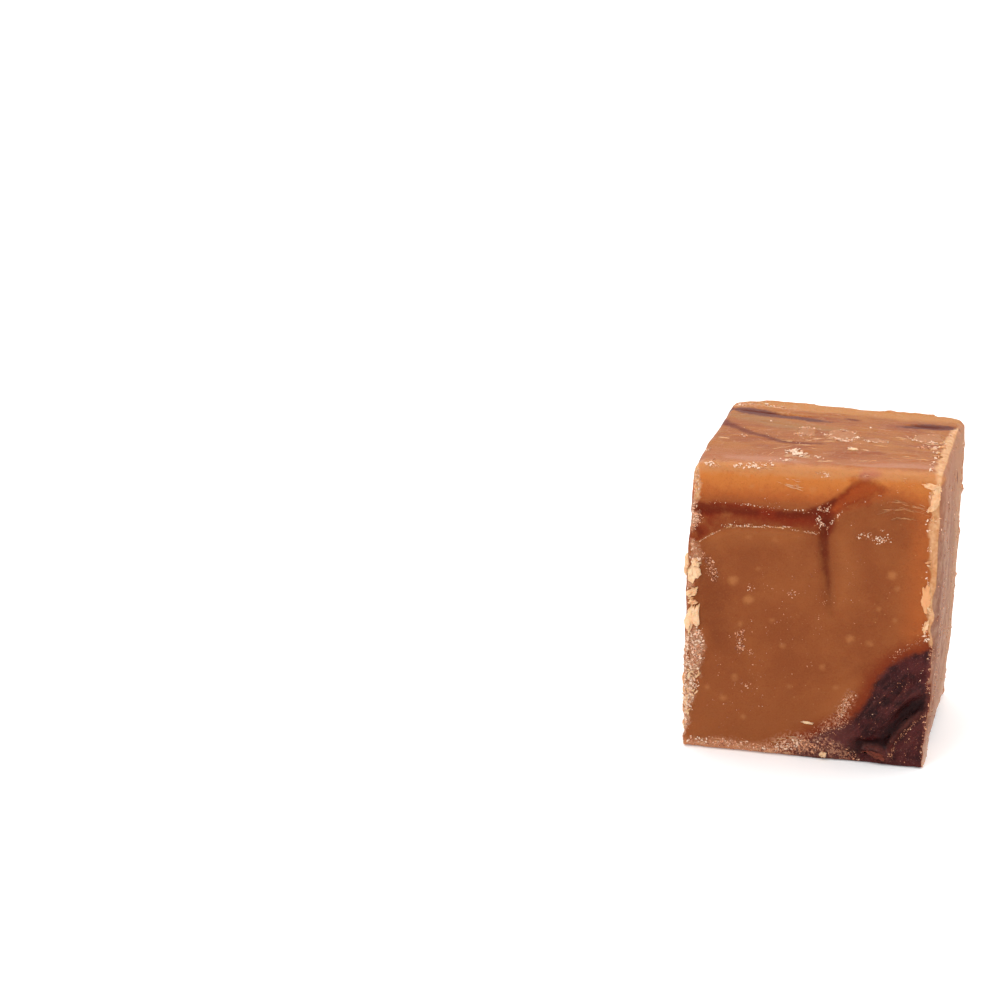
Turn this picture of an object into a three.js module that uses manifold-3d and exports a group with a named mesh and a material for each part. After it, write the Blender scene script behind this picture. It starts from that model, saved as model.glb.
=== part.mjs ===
// A cube of vanilla fudge with dark chocolate folded into one lower corner, cut by hand from a slab.
//
// Millimetres, +Z up. X runs along the front face, Y from the front to the back, and the origin is
// the middle of the base, on the surface that the cube stands on.

import * as THREE from 'three';
import { ImprovedNoise } from 'three/addons/math/ImprovedNoise.js';
import { mergeVertices } from 'three/addons/utils/BufferGeometryUtils.js';
import Module from 'manifold-3d';

const wasm = await Module();
wasm.setup();
const { clamp, lerp, smoothstep } = THREE.MathUtils;

// ---- Driving dimensions ----

// The slab was cut an inch apart both ways, and stood a little higher than that.
const CUT = 25;
const SLAB_HEIGHT = 31.2;
const HALF = CUT / 2;

// The knife leaned and the slab was uneven, so each corner lies a little off the true box.
const CORNER_OFFSETS = {
  frontLeftFoot: [-0.3, -0.25, 0],
  frontRightFoot: [-0.25, 0.4, 0],
  backLeftFoot: [-0.1, -0.1, 0],
  backRightFoot: [-0.2, -0.35, 0],
  frontLeftTop: [-0.15, -0.3, -0.6],
  frontRightTop: [0.2, 0, 0.1],
  backLeftTop: [-0.1, 0.25, 0.8],
  backRightTop: [0, 0.05, 0.1],
};

// Cut edges are nearly sharp, the top's front edge is a soft shoulder, and the foot is pressed round.
// One radius fades into the next over the last length.
const EDGE_RADIUS = 0.55;
const SHOULDER_RADIUS = 1.1;
const FOOT_RADIUS = 0.3;
const RADIUS_FADE = 3;

// Grid of the cube's skin: squares along X, Y and Z, drawn closer together towards the edges.
const SQUARES = [22, 18, 27];
const EDGE_CROWDING = 0.6;

// The soft walls belly out between their edges: how far at the middle of each.
const LEFT_BELLY = 0.3;
const RIGHT_BELLY = 0.4;
const TOP_CROWN = 0.25;

// The faces swell and ripple, and the edges crumble: how deep and how far across each kind of bump
// is, and the shift in the noise that makes it unlike the others.
const SWELL = { depth: 0.22, size: 9, shift: 3.7 };
const RIPPLE = { depth: 0.09, size: 2.6, shift: 8.3 };
const CRUMBLE = { depth: 0.5, size: 1.3, shift: 5.1 };
const CRUMBLE_REACH = 1.1;

// A sunken band runs across the front under the shoulder, from its soft upper rim to a sharp ledge.
// Both lines are pairs of X and Z, and both rise to meet each other on the right.
const BAND_RIM = [[-12.5, 27], [-5.6, 27.3], [-1.2, 26.8], [0.8, 27.5], [3.3, 29.6], [6, 30.4]];
const BAND_LEDGE = [[-12.5, 22.6], [-9.6, 24.4], [-3.5, 25], [0.6, 24.5], [3.4, 27.5], [6.3, 29.2]];
const BAND_DEPTH = 0.3;
const LEDGE_WIDTH = 0.6;
const BAND_END = 5.8;
const BAND_FADE = 2.5;

// The chocolate fold fills the lower right of the front, below this line of X and Z. It sinks from
// there down to a crease, and the corner below the crease stands proud again.
const FOLD_RIM = [[-2.5, 1], [1.3, 3.3], [4.7, 5.3], [6.4, 8.2], [8.4, 11.6], [12.5, 14.2]];
const CREASE_FOOT = [7.3, 0.6];
const CREASE_TOP = [12.2, 6.6];
const FOLD_RIM_DEPTH = 0.12;
const FOLD_RIM_WIDTH = 1.2;
const FOLD_DEPTH = 0.75;
const FOLD_SLOPE_WIDTH = 5;
const CREASE_WIDTH = 0.8;

// ---- Helpers ----

const noise = new ImprovedNoise();

// Smooth bumps of one kind, between about -depth and depth high, the same ones on every run.
function bumps(point, { depth, size, shift }) {
  const x = point.x / size + shift;
  const y = point.y / size - shift;
  const z = point.z / size + 0.5 * shift;
  return depth * noise.noise(x, y, z);
}

// The height of a line of [across, up] pairs at one place across.
function heightOfLine(line, across) {
  const last = line.length - 1;
  const place = clamp(across, line[0][0], line[last][0]);
  const next = Math.max(1, line.findIndex((pair) => pair[0] >= place));
  const [fromAcross, fromUp] = line[next - 1];
  const [toAcross, toUp] = line[next];
  return lerp(fromUp, toUp, (place - fromAcross) / (toAcross - fromAcross));
}

// A closed three.js geometry as a solid that can be joined and cut.
function toSolid(geometry) {
  geometry.deleteAttribute('normal');
  geometry.deleteAttribute('uv');
  const merged = mergeVertices(geometry, 1e-4);
  const mesh = new wasm.Mesh({
    numProp: 3,
    vertProperties: new Float32Array(merged.attributes.position.array),
    triVerts: new Uint32Array(merged.index.array),
  });
  return new wasm.Manifold(mesh);
}

function toGeometry(solid) {
  const { vertProperties, triVerts } = solid.getMesh();
  const geometry = new THREE.BufferGeometry();
  geometry.setAttribute('position', new THREE.BufferAttribute(vertProperties, 3));
  geometry.setIndex(new THREE.BufferAttribute(triVerts, 1));
  geometry.computeVertexNormals();
  return geometry;
}

// ---- The cube's skin ----

// How far the true box's corners pull the place `point`, blended between all eight.
function cornerPull(point) {
  const right = point.x / CUT + 0.5;
  const back = point.y / CUT + 0.5;
  const up = point.z / SLAB_HEIGHT;
  const pull = new THREE.Vector3();
  for (const [name, offset] of Object.entries(CORNER_OFFSETS)) {
    const share = (name.includes('Right') ? right : 1 - right)
      * (name.startsWith('back') ? back : 1 - back)
      * (name.endsWith('Top') ? up : 1 - up);
    pull.addScaledVector(new THREE.Vector3(...offset), share);
  }
  return pull;
}

// 1 up to a shoulder's width from a wall, and 0 once its edge's radius has faded away.
function nearWall(distance) {
  return 1 - smoothstep(distance, SHOULDER_RADIUS, SHOULDER_RADIUS + RADIUS_FADE);
}

function edgeRadius(place) {
  const shoulder = nearWall(HALF + place.y) * nearWall(SLAB_HEIGHT - place.z);
  const radius = lerp(EDGE_RADIUS, SHOULDER_RADIUS, shoulder);
  return lerp(radius, FOOT_RADIUS, nearWall(place.z));
}

// How far a wall stands out of its flat plane at a place, on the side that it faces.
function belly(place, facing) {
  const overHeight = Math.sin(Math.PI * place.z / SLAB_HEIGHT);
  const overWidth = Math.cos(Math.PI * place.x / CUT);
  const wall = overHeight * Math.abs(facing.x) * (facing.x > 0 ? RIGHT_BELLY : LEFT_BELLY);
  return wall + overWidth * Math.max(0, facing.z) * TOP_CROWN;
}

// How deep the front face sinks at a place, below the level of its cut.
function frontSink(place) {
  const rim = heightOfLine(BAND_RIM, place.x);
  const ledge = heightOfLine(BAND_LEDGE, place.x);
  const underRim = 1 - smoothstep(place.z, ledge, rim);
  const overLedge = smoothstep(place.z, ledge - LEDGE_WIDTH, ledge);
  const bandLeft = 1 - smoothstep(place.x, BAND_END - BAND_FADE / 2, BAND_END + BAND_FADE / 2);
  const band = BAND_DEPTH * underRim * overLedge * bandLeft;

  const creaseRun = (place.z - CREASE_FOOT[1]) / (CREASE_TOP[1] - CREASE_FOOT[1]);
  const aboveCrease = lerp(CREASE_FOOT[0], CREASE_TOP[0], creaseRun) - place.x;
  const inFold = smoothstep(heightOfLine(FOLD_RIM, place.x) - place.z, 0, FOLD_RIM_WIDTH);
  const slope = 1 - smoothstep(aboveCrease, 0, FOLD_SLOPE_WIDTH);
  const offCorner = smoothstep(aboveCrease, -CREASE_WIDTH, 0);
  const fold = inFold * (FOLD_RIM_DEPTH + FOLD_DEPTH * slope * offCorner);
  return band + fold;
}

// Near an edge two or three of the box's walls are close: 1 on the edge, 0 well inside a face.
function nearEdge(place) {
  const toWalls = [HALF - Math.abs(place.x), HALF - Math.abs(place.y), SLAB_HEIGHT - place.z, place.z];
  toWalls.sort((a, b) => a - b);
  return 1 - smoothstep(toWalls[1], 0, CRUMBLE_REACH);
}

// Moves a place on the true box to where the fudge's skin is, and gives the way it faces there.
function skin(place) {
  const radius = edgeRadius(place);
  const reach = HALF - radius;
  const core = new THREE.Vector3(
    clamp(place.x, -reach, reach),
    clamp(place.y, -reach, reach),
    clamp(place.z, radius, SLAB_HEIGHT - radius),
  );
  const facing = place.clone().sub(core).normalize();
  const point = core.addScaledVector(facing, radius);
  point.add(cornerPull(point));

  // The relief fades out round the edges of the face that it belongs to, and leaves the base flat.
  const offBase = 1 - smoothstep(-facing.z, 0.4, 0.9);
  const onFront = smoothstep(-facing.y, 0.3, 0.9);
  const swell = belly(place, facing) + bumps(place, SWELL) + bumps(place, RIPPLE);
  const crumble = nearEdge(place) * Math.max(0, bumps(place, CRUMBLE));
  const sink = onFront * frontSink(place);
  point.addScaledVector(facing, offBase * (swell - crumble - sink));
  point.z = Math.max(point.z, 0);
  return { point, facing };
}

// Draws evenly spaced squares closer together at both ends of a length that runs from 0 to 1.
function crowd(share) {
  return share - EDGE_CROWDING * Math.sin(2 * Math.PI * share) / (2 * Math.PI);
}

function cubeSolid() {
  const box = new THREE.BoxGeometry(1, 1, 1, ...SQUARES);
  const positions = box.attributes.position;
  const place = new THREE.Vector3();
  for (let i = 0; i < positions.count; i += 1) {
    place.fromBufferAttribute(positions, i).addScalar(0.5);
    place.set(
      CUT * crowd(place.x) - HALF,
      CUT * crowd(place.y) - HALF,
      SLAB_HEIGHT * crowd(place.z),
    );
    positions.setXYZ(i, ...skin(place).point);
  }
  return toSolid(box);
}

// ---- Cuts, chips, flakes and crumbs ----

// Each face takes a pair of distances, across and up it, to a place on the true box.
const FACES = {
  front: (across, up) => new THREE.Vector3(across, -HALF, up),
  back: (across, up) => new THREE.Vector3(across, HALF, up),
  left: (across, up) => new THREE.Vector3(-HALF, across, up),
  right: (across, up) => new THREE.Vector3(HALF, across, up),
  top: (across, up) => new THREE.Vector3(across, up, SLAB_HEIGHT),
};

// Makes a shape of unit size long, wide and thick, with a ragged outline, and sets it on a face:
// its X runs across the face, its Y up it and its Z out of it, and `turn` turns it in the face.
function setOnFace(shape, { face, at, long, wide, thick, turn = 0 }, raggedness) {
  const { point, facing } = skin(FACES[face](...at));
  const teeth = { depth: raggedness, size: 0.4, shift: point.x + 2.3 * point.z };
  const positions = shape.attributes.position;
  const corner = new THREE.Vector3();
  for (let i = 0; i < positions.count; i += 1) {
    corner.fromBufferAttribute(positions, i);
    const growth = 1 + bumps(corner, teeth);
    positions.setXYZ(i, corner.x * growth * long, corner.y * growth * wide, corner.z * thick);
  }
  const faceUp = face === 'top' ? new THREE.Vector3(0, 1, 0) : new THREE.Vector3(0, 0, 1);
  const across = faceUp.cross(facing).normalize();
  const up = facing.clone().cross(across);
  shape.rotateZ(THREE.MathUtils.degToRad(turn));
  shape.applyMatrix4(new THREE.Matrix4().makeBasis(across, up, facing).setPosition(point));
  return toSolid(shape);
}

// The open slits of the chocolate streaks and cracks, then the chips broken off edges and corners.
const HOLLOWS = [
  { face: 'top', at: [-6.8, 7.2], long: 11.5, wide: 0.6, thick: 0.6, turn: -6 },
  { face: 'top', at: [9, 7.1], long: 6, wide: 0.6, thick: 0.6, turn: 8 },
  { face: 'front', at: [1.5, 20.6], long: 8.4, wide: 0.9, thick: 0.44, turn: -78 },
  { face: 'front', at: [4.9, 3.9], long: 4.6, wide: 1.1, thick: 0.8, turn: 55 },
  { face: 'front', at: [10, 4.4], long: 7, wide: 0.8, thick: 1.3, turn: 50 },
  { face: 'left', at: [12.2, 31], long: 4.2, wide: 2.4, thick: 2.6, turn: -40 },
  { face: 'top', at: [2.8, 12.5], long: 3, wide: 1.2, thick: 0.8 },
  { face: 'back', at: [-6.5, 30.8], long: 3.4, wide: 1.2, thick: 1, turn: 8 },
  { face: 'right', at: [12.2, 3.4], long: 1.8, wide: 3.6, thick: 1.5, turn: 20 },
  { face: 'right', at: [2, 0.6], long: 20, wide: 3, thick: 1.7 },
];

// Thin flakes lifted by the knife and pressed flat against the faces and over the edges.
const FLAKES = [
  { face: 'front', at: [-11.8, 14.2], long: 3.2, wide: 1.2, thick: 0.5, turn: 88 },
  { face: 'front', at: [-11.8, 19.2], long: 1.9, wide: 1.1, thick: 0.6, turn: 80 },
  { face: 'front', at: [-11.6, 10.6], long: 3, wide: 1.4, thick: 0.5, turn: 75 },
  { face: 'front', at: [11.7, 28.9], long: 3, wide: 0.9, thick: 0.5, turn: 82 },
  { face: 'front', at: [11.8, 18], long: 2, wide: 1.1, thick: 0.5, turn: 95 },
  { face: 'front', at: [12, 15.3], long: 1.2, wide: 0.8, thick: 0.6, turn: 90 },
  { face: 'front', at: [7.4, 1], long: 2.6, wide: 0.8, thick: 0.8, turn: -22 },
  { face: 'top', at: [0.8, 1.9], long: 3.6, wide: 2, thick: 0.3, turn: 4 },
  { face: 'top', at: [9.6, 3.4], long: 3.4, wide: 1.6, thick: 0.3, turn: -6 },
  { face: 'top', at: [-2.6, 1.2], long: 1.8, wide: 1.4, thick: 0.3 },
  { face: 'top', at: [-2.1, -6.9], long: 1.6, wide: 1.2, thick: 0.5, turn: 12 },
  { face: 'right', at: [-8, 26], long: 4, wide: 0.9, thick: 0.4, turn: 84 },
  { face: 'back', at: [-9.6, 12], long: 3.2, wide: 1.1, thick: 0.5, turn: 76 },
  { face: 'left', at: [6, 9], long: 2.8, wide: 1, thick: 0.5, turn: 60 },
];

// Coarse crumbs cling in strips along the edges, from one place on a face to another.
const CRUMB_STRIPS = [
  { face: 'front', from: [-12, 29.6], to: [-11.8, 23.4], width: 0.7, count: 6, size: 0.6 },
  { face: 'front', from: [-11.4, 12.4], to: [-12, 2.5], width: 1, count: 7, size: 0.7 },
  { face: 'front', from: [-9.4, 24.3], to: [-2.4, 24.9], width: 0.3, count: 6, size: 0.5 },
  { face: 'front', from: [0.4, 27], to: [1.6, 24.6], width: 1, count: 4, size: 0.6 },
  { face: 'front', from: [-3.4, 1.1], to: [4.4, 1.2], width: 1.2, count: 8, size: 0.7 },
  { face: 'front', from: [8.8, 2.3], to: [11.8, 6], width: 0.4, count: 5, size: 0.6 },
  { face: 'right', from: [12.1, 29], to: [12.1, 9], width: 0.5, count: 5, size: 0.6 },
];
const CRUMB_SIZE_SPREAD = 0.45;

// How ragged each kind's outline is, as a share of its size.
const HOLLOW_RAGGEDNESS = 0.25;
const FLAKE_RAGGEDNESS = 0.6;
const CRUMB_RAGGEDNESS = 0.6;

// The i-th share of a row that never bunches up: the fraction of i times an irrational step.
const STEP_ALONG = 0.7549;
const STEP_ACROSS = 0.5698;
const STEP_SIZE = 0.618;
const STEP_TURN = 137;

function spread(i, step) {
  return (i * step) % 1;
}

function crumbsOf({ face, from, to, width, count, size }) {
  const run = new THREE.Vector2(to[0] - from[0], to[1] - from[1]);
  const sideways = new THREE.Vector2(-run.y, run.x).normalize();
  const crumbs = [];
  for (let i = 1; i <= count; i += 1) {
    const at = new THREE.Vector2(...from)
      .addScaledVector(run, spread(i, STEP_ALONG))
      .addScaledVector(sideways, width * (spread(i, STEP_ACROSS) - 0.5));
    const wide = size * (1 + CRUMB_SIZE_SPREAD * (2 * spread(i, STEP_SIZE) - 1));
    const crumb = { face, at: [at.x, at.y], long: 1.2 * wide, wide, thick: wide, turn: STEP_TURN * i };
    crumbs.push(setOnFace(new THREE.IcosahedronGeometry(0.5, 0), crumb, CRUMB_RAGGEDNESS));
  }
  return crumbs;
}

function hollowSolid(hollow) {
  return setOnFace(new THREE.IcosahedronGeometry(0.5, 1), hollow, HOLLOW_RAGGEDNESS);
}

// A flake is a jagged plate with nine sides, its outer face a little smaller than its foot.
function flakeSolid(flake) {
  const plate = new THREE.CylinderGeometry(0.4, 0.5, 1, 9);
  plate.rotateX(Math.PI / 2);
  return setOnFace(plate, flake, FLAKE_RAGGEDNESS);
}

// ---- Assembly ----

function fudgeCube() {
  let solid = cubeSolid();
  for (const hollow of HOLLOWS) {
    solid = solid.subtract(hollowSolid(hollow));
  }
  for (const flake of FLAKES) {
    solid = solid.add(flakeSolid(flake));
  }
  for (const crumb of CRUMB_STRIPS.flatMap(crumbsOf)) {
    solid = solid.add(crumb);
  }

  // The base's middle comes to the origin, whichever way the faces swelled.
  const geometry = toGeometry(solid);
  geometry.computeBoundingBox();
  const middle = geometry.boundingBox.getCenter(new THREE.Vector3());
  geometry.translate(-middle.x, -middle.y, -geometry.boundingBox.min.z);

  const fudge = new THREE.MeshStandardMaterial({ color: '#9a5632', roughness: 0.45, metalness: 0 });
  const cube = new THREE.Mesh(geometry, fudge);
  cube.name = 'fudge_cube';
  return cube;
}

const object = new THREE.Group();
object.name = 'fudge';
object.add(fudgeCube());

export default object;
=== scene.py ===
import math

import bpy
import numpy as np
from mathutils import Euler, Matrix, Vector
from mathutils.bvhtree import BVHTree


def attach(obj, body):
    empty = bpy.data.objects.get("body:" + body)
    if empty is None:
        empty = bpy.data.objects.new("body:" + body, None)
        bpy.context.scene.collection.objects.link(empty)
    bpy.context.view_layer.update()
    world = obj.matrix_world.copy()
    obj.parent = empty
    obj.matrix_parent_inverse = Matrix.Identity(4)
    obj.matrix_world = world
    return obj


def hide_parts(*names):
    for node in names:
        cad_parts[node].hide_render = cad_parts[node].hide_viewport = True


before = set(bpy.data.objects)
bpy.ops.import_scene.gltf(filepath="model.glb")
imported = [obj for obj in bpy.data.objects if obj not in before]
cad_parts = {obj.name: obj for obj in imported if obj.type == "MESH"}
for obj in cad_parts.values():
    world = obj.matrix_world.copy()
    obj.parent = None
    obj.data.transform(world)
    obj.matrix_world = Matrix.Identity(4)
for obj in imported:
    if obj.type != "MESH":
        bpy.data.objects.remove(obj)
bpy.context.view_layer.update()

# The fudge: one block of vanilla fudge, boiled, beaten, poured into a slab and cut with a knife,
# with dark chocolate folded in before it set. Its cut faces are satin, its edges dry and crumble,
# and where it is thin the light glows orange through it.

MM = 0.001
SKIN_GRID = 0.22
SAME_PLACE = 0.002

# The true block before the knife leaned, and how far each of its corners then moved. Places below
# are given on the true block's faces, in millimetres across and up each.
CUT = 25.0
SLAB_HEIGHT = 31.2
BASE_SHIFT = (0.025, 0.207, 0.0)
CORNER_OFFSETS = {
    (0, 0, 0): (-0.3, -0.25, 0),
    (1, 0, 0): (-0.25, 0.4, 0),
    (0, 1, 0): (-0.1, -0.1, 0),
    (1, 1, 0): (-0.2, -0.35, 0),
    (0, 0, 1): (-0.15, -0.3, -0.6),
    (1, 0, 1): (0.2, 0, 0.1),
    (0, 1, 1): (-0.1, 0.25, 0.8),
    (1, 1, 1): (0, 0.05, 0.1),
}

# The red band under the shoulder lies between its rim and its ledge, pairs of X and Z on the front,
# and the chocolate fills the front's corner to the right of its own rim, which sinks as it goes in.
BAND_RIM = [
    (-14, 27.1), (-10.1, 27.3), (-7.5, 27.3), (-4.9, 26.9), (-2.4, 26.6), (-0.2, 26.9), (1.4, 27.9),
    (3.4, 29.8), (6, 31.4),
]
BAND_LEDGE = [
    (-14, 21.8), (-11.6, 22.9), (-10.4, 23.7), (-8.6, 24.6), (-4.0, 24.9), (0.4, 24.5), (2.6, 27.2),
    (6.1, 29.0), (9, 31),
]
CHOCOLATE_RIM = [
    (-1.4, -1), (-0.5, 1.2), (1.1, 2.6), (2.5, 3.3), (3.6, 3.9), (4.8, 4.9), (5.6, 5.9), (6.2, 6.9),
    (6.8, 8.4), (7.5, 9.9), (8.3, 10.9), (9.4, 11.7), (10.7, 12.4), (12.0, 12.9), (16, 15.5),
]
RIM_LEAN = 0.4

# What lies along lines on the faces: places across and up a face, each with half the width there.
MARKS = {
    # Strands of dark chocolate that the knife laid bare, and thin red-brown ones just under the skin.
    "dark": [
        ("top", [
            (-12.0, 7.8, 0.05), (-11.2, 7.7, 0.8), (-9.6, 7.2, 1.2), (-7.5, 6.7, 1.0), (-4.7, 6.0, 0.8),
            (-2.7, 5.5, 0.6), (-0.9, 5.3, 0.05),
        ]),
        ("top", [(6, 5.6, 0.1), (7.4, 6.2, 0.7), (9, 6.9, 1), (10.6, 7.3, 0.8), (12, 7.8, 0.3)]),
        ("left", [
            (7.8, 31.4, 0.5), (7.5, 27.6, 0.2), (6.4, 22.8, 0.6), (4.4, 18.6, 0.8), (1.2, 15.4, 0.3),
            (-3, 13.9, -0.1),
        ]),
        ("left", [(12.7, 9.3, 0.35), (8.6, 8.6, 0.75), (4, 7.0, 0.35), (0, 6.6, 0.4), (-4, 6.9, -0.1)]),
        ("back", [(-12.7, 9.3, 0.5), (-9, 8.0, 0.8), (-4.6, 7.2, 0.55), (-0.6, 7.4, 0.25), (2.2, 8.2, 0.05)]),
        ("back", [(9.4, 31.6, 0.4), (8.8, 28, 0.55), (7.2, 24.6, 0.4), (5.0, 22.0, 0.2), (3.4, 20.6, 0.05)]),
        ("right", [(4.9, 26.9, 0.35), (5.1, 26.3, 0.2)]),
    ],
    "faint": [
        ("top", [
            (-12.6, 3.4, 0.8), (-11.7, 2.2, 0.45), (-9, -0.4, 0.45), (-6.9, -1.8, 0.4), (-4.5, -3.6, 0.4),
            (-0.7, -3.8, 0.1),
        ]),
        ("top", [(0.5, 7.1, 0.3), (1.4, 6.9, 0.3)]),
        # The crack down the front: its dark line is partly a red-brown strand and partly painted shade in its
        # groove.
        ("front", [
            (0.6, 26.4, 0.5), (0.9, 25.4, 0.5), (1.0, 24.2, 0.4), (1.2, 21.9, 0.26), (1.7, 18.9, 0.04),
            (2.2, 16.6, -0.25),
        ]),
        ("front", [(-3.6, 26.3, 0.3), (-1, 26.4, 0.4), (0.9, 27.2, 0.35), (1.8, 28.1, 0.2)]),
        ("front", [(-12.6, 26.4, 0.5), (-9, 26.5, 0.4), (-6, 26.3, 0.3)]),
        ("front", [(-12.5, 24.8, 0.4), (-11.6, 23.8, 0.2)]),
        ("left", [(3.3, 31.2, 0.35), (2.6, 28.8, 0.3), (1.2, 26.2, 0.1)]),
        ("left", [(-12.5, 26.3, 0.5), (-8, 25.6, 0.4), (-3, 25.9, 0.1)]),
        ("back", [(11.6, 30.6, 0.3), (10.8, 25.6, 0.45), (9.2, 21.6, 0.3), (7.6, 19.2, 0.05)]),
    ],
    # The knot where they meet under the shoulder, and the red leaf that rises from it.
    "junction": [
        ("front", [(-0.8, 26.2, 0.5), (0.6, 26.4, 1.0), (1.5, 25.6, 0.6), (1.2, 24.4, 0.2)]),
    ],
    "red_leaf": [
        ("front", [
            (1.8, 27.1, 0.4), (3.1, 28.1, 0.65), (4.3, 29.0, 0.95), (5.3, 29.5, 0.8), (6.3, 29.4, 0.3),
        ]),
    ],
    # Brown stains of dragged chocolate, and a mauve smear of it on the shoulder.
    "stain": [
        ("front", [(-2.6, 0.5, 0.2), (-0.8, 0.9, 0.5), (1.2, 1.6, 0.9), (2.8, 2.6, 0.9)]),
        ("front", [(-10.5, 21.3, 0.0), (-9.8, 18.8, 0.0)]),
        ("front", [(-12.2, 26.8, 0.1), (-12.0, 25.0, 0.1)]),
    ],
    "smear": [
        ("front", [(4.7, 30.95, 0.35), (6.0, 30.9, 0.15)]),
    ],
    # Broad soft patches that are darker than the rest, and others that are paler.
    "shade": [
        # Soft painted shade along the right of the crack.
        ("front", [(1.3, 24.4, 0.2), (1.7, 21.4, 0.3), (2.1, 17.6, 0.1)]),
        ("front", [(-10.4, 18.6, 0.5), (-9.9, 16.6, 1.1), (-9.6, 14.6, 0.8), (-9.4, 12.4, 0.2)]),
        ("back", [(4, 9, 1), (0, 12, 2)]),
        ("back", [(-9, 14, 1), (-7, 20, 2)]),
        ("left", [(6, 8, 1), (-1, 11, 2)]),
        ("left", [(-4, 24, 1), (3, 22, 2)]),
    ],
    "haze": [
        ("front", [(5.0, 8.4, 0.2), (3.8, 7.2, 0.4), (2.6, 5.4, 0.3)]),
        ("front", [(-10, 23.6, 0.3), (-6, 24.1, 0.4), (-2, 24.1, 0.3)]),
        ("front", [(2.8, 24.0, 0.3), (3.6, 20.6, 0.6), (3.2, 17.6, 0.2)]),
        ("left", [(5, 14, 1), (9, 20, 2)]),
        ("left", [(-9, 3, 1), (-2, 4, 2), (6, 3, 1)]),
        ("back", [(6, 26, 1), (0, 28, 2), (-8, 27, 1)]),
        ("back", [(-6, 8, 1), (-2, 5, 1)]),
    ],
    # Tan patches of the top and the back, and a lilac painted sheen on the glossy ridges near the top's
    # front.
    "tan": [
        ("top", [(-11.4, 5.6, 0.4), (-9, 4.6, 1.2), (-5, 2.6, 1.2), (0, 2.4, 0.6)]),
        ("back", [(4, 5, 1.5), (8, 3, 1.5)]),
    ],
    "lilac_sheen": [
        ("top", [(3.5, -10.6, 0.2), (7, -10.2, 0.7), (11, -9.9, 0.6)]),
        ("top", [(4.6, -12.6, 0.4), (8, -12.8, 0.6), (11, -12.8, 0.4)]),
        ("top", [(-9.5, -9.8, 0.3), (-6, -10.2, 0.8), (-2, -10.6, 0.4)]),
    ],
    # The valley of the fold, where the chocolate lies in its own shadow and is nearly black.
    "valley": [
        ("front", [
            (12.2, 7.6, 0.3), (10.8, 6.1, 0.7), (9.8, 4.5, 0.8), (8.9, 2.9, 0.7), (7.8, 2.1, 0.5),
            (6.0, 2.0, 0.4),
        ]),
        ("front", [(4.8, 1.0, 0.2), (6.0, 1.4, 0.4)]),
    ],
    # Where fine sugar bloomed out of the fudge as it dried.
    "bloom": [
        ("front", [(-12, 0.3, 0.3), (-9.6, 0.6, 0.5), (-7.2, 0.8, 0.6), (-5, 0.4, 0.4)]),
        ("front", [
            (-4.6, 0.4, 0.3), (-2.8, 1.0, 0.9), (-0.6, 1.5, 1.3), (1.4, 1.6, 1.1), (3.4, 1.2, 0.8),
            (5.2, 0.5, 0.4),
        ]),
        ("front", [(2.2, 3.8, 0.4), (3.6, 4.9, 0.7), (4.4, 6.4, 0.7), (4.8, 7.6, 0.3)]),
        ("front", [(-11.2, 12.6, 0.4), (-10.9, 10, 0.2)]),
        ("top", [(-11.7, 9.4, 0.6), (-5.7, 9.4, 0.6)]),
    ],
    # The worn edges of the chocolate, a little paler.
    "chocolate_edge": [
        ("front", [
            (12.5, 6.1, 0.12), (11.5, 5.5, 0.15), (10.6, 4.6, 0.15), (9.6, 3.4, 0.12), (9.0, 2.2, 0.12),
            (8.8, 0.6, 0.1),
        ]),
        ("front", [(6.4, 1.7, 0.15), (7.7, 1.6, 0.15), (8.6, 0.9, 0.1)]),
        ("front", [(12.4, 12.5, 0.15), (12.45, 0.5, 0.15)]),
    ],
    # The smooth cream skin along the right edges and high on the two left ones.
    "cream": [
        ("front", [
            (12.3, 30.8, 0.3), (11.9, 29.4, 0.7), (12.0, 27.2, 0.6), (11.9, 25.6, 0.7), (12.1, 23, 0.6),
        ]),
        ("front", [
            (12.1, 23, 0.65), (12.3, 20.4, 0.4), (12.0, 18.6, 0.9), (12.2, 16, 0.5), (12.35, 13.4, 0.2),
        ]),
        ("top", [
            (12.0, -12.6, 0.5), (11.8, -8.5, 0.55), (11.8, -4, 0.5), (11.7, 0, 0.55), (11.9, 6.5, 0.4),
            (12.3, 8.5, 0.1),
        ]),
        ("front", [(-12.2, 31, 0.3), (-12.0, 29.4, 0.35), (-11.9, 27.8, 0.3)]),
        ("back", [(-12.2, 30, 0.5), (-12.0, 24, 0.7), (-12.2, 19, 0.3)]),
    ],
}

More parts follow.
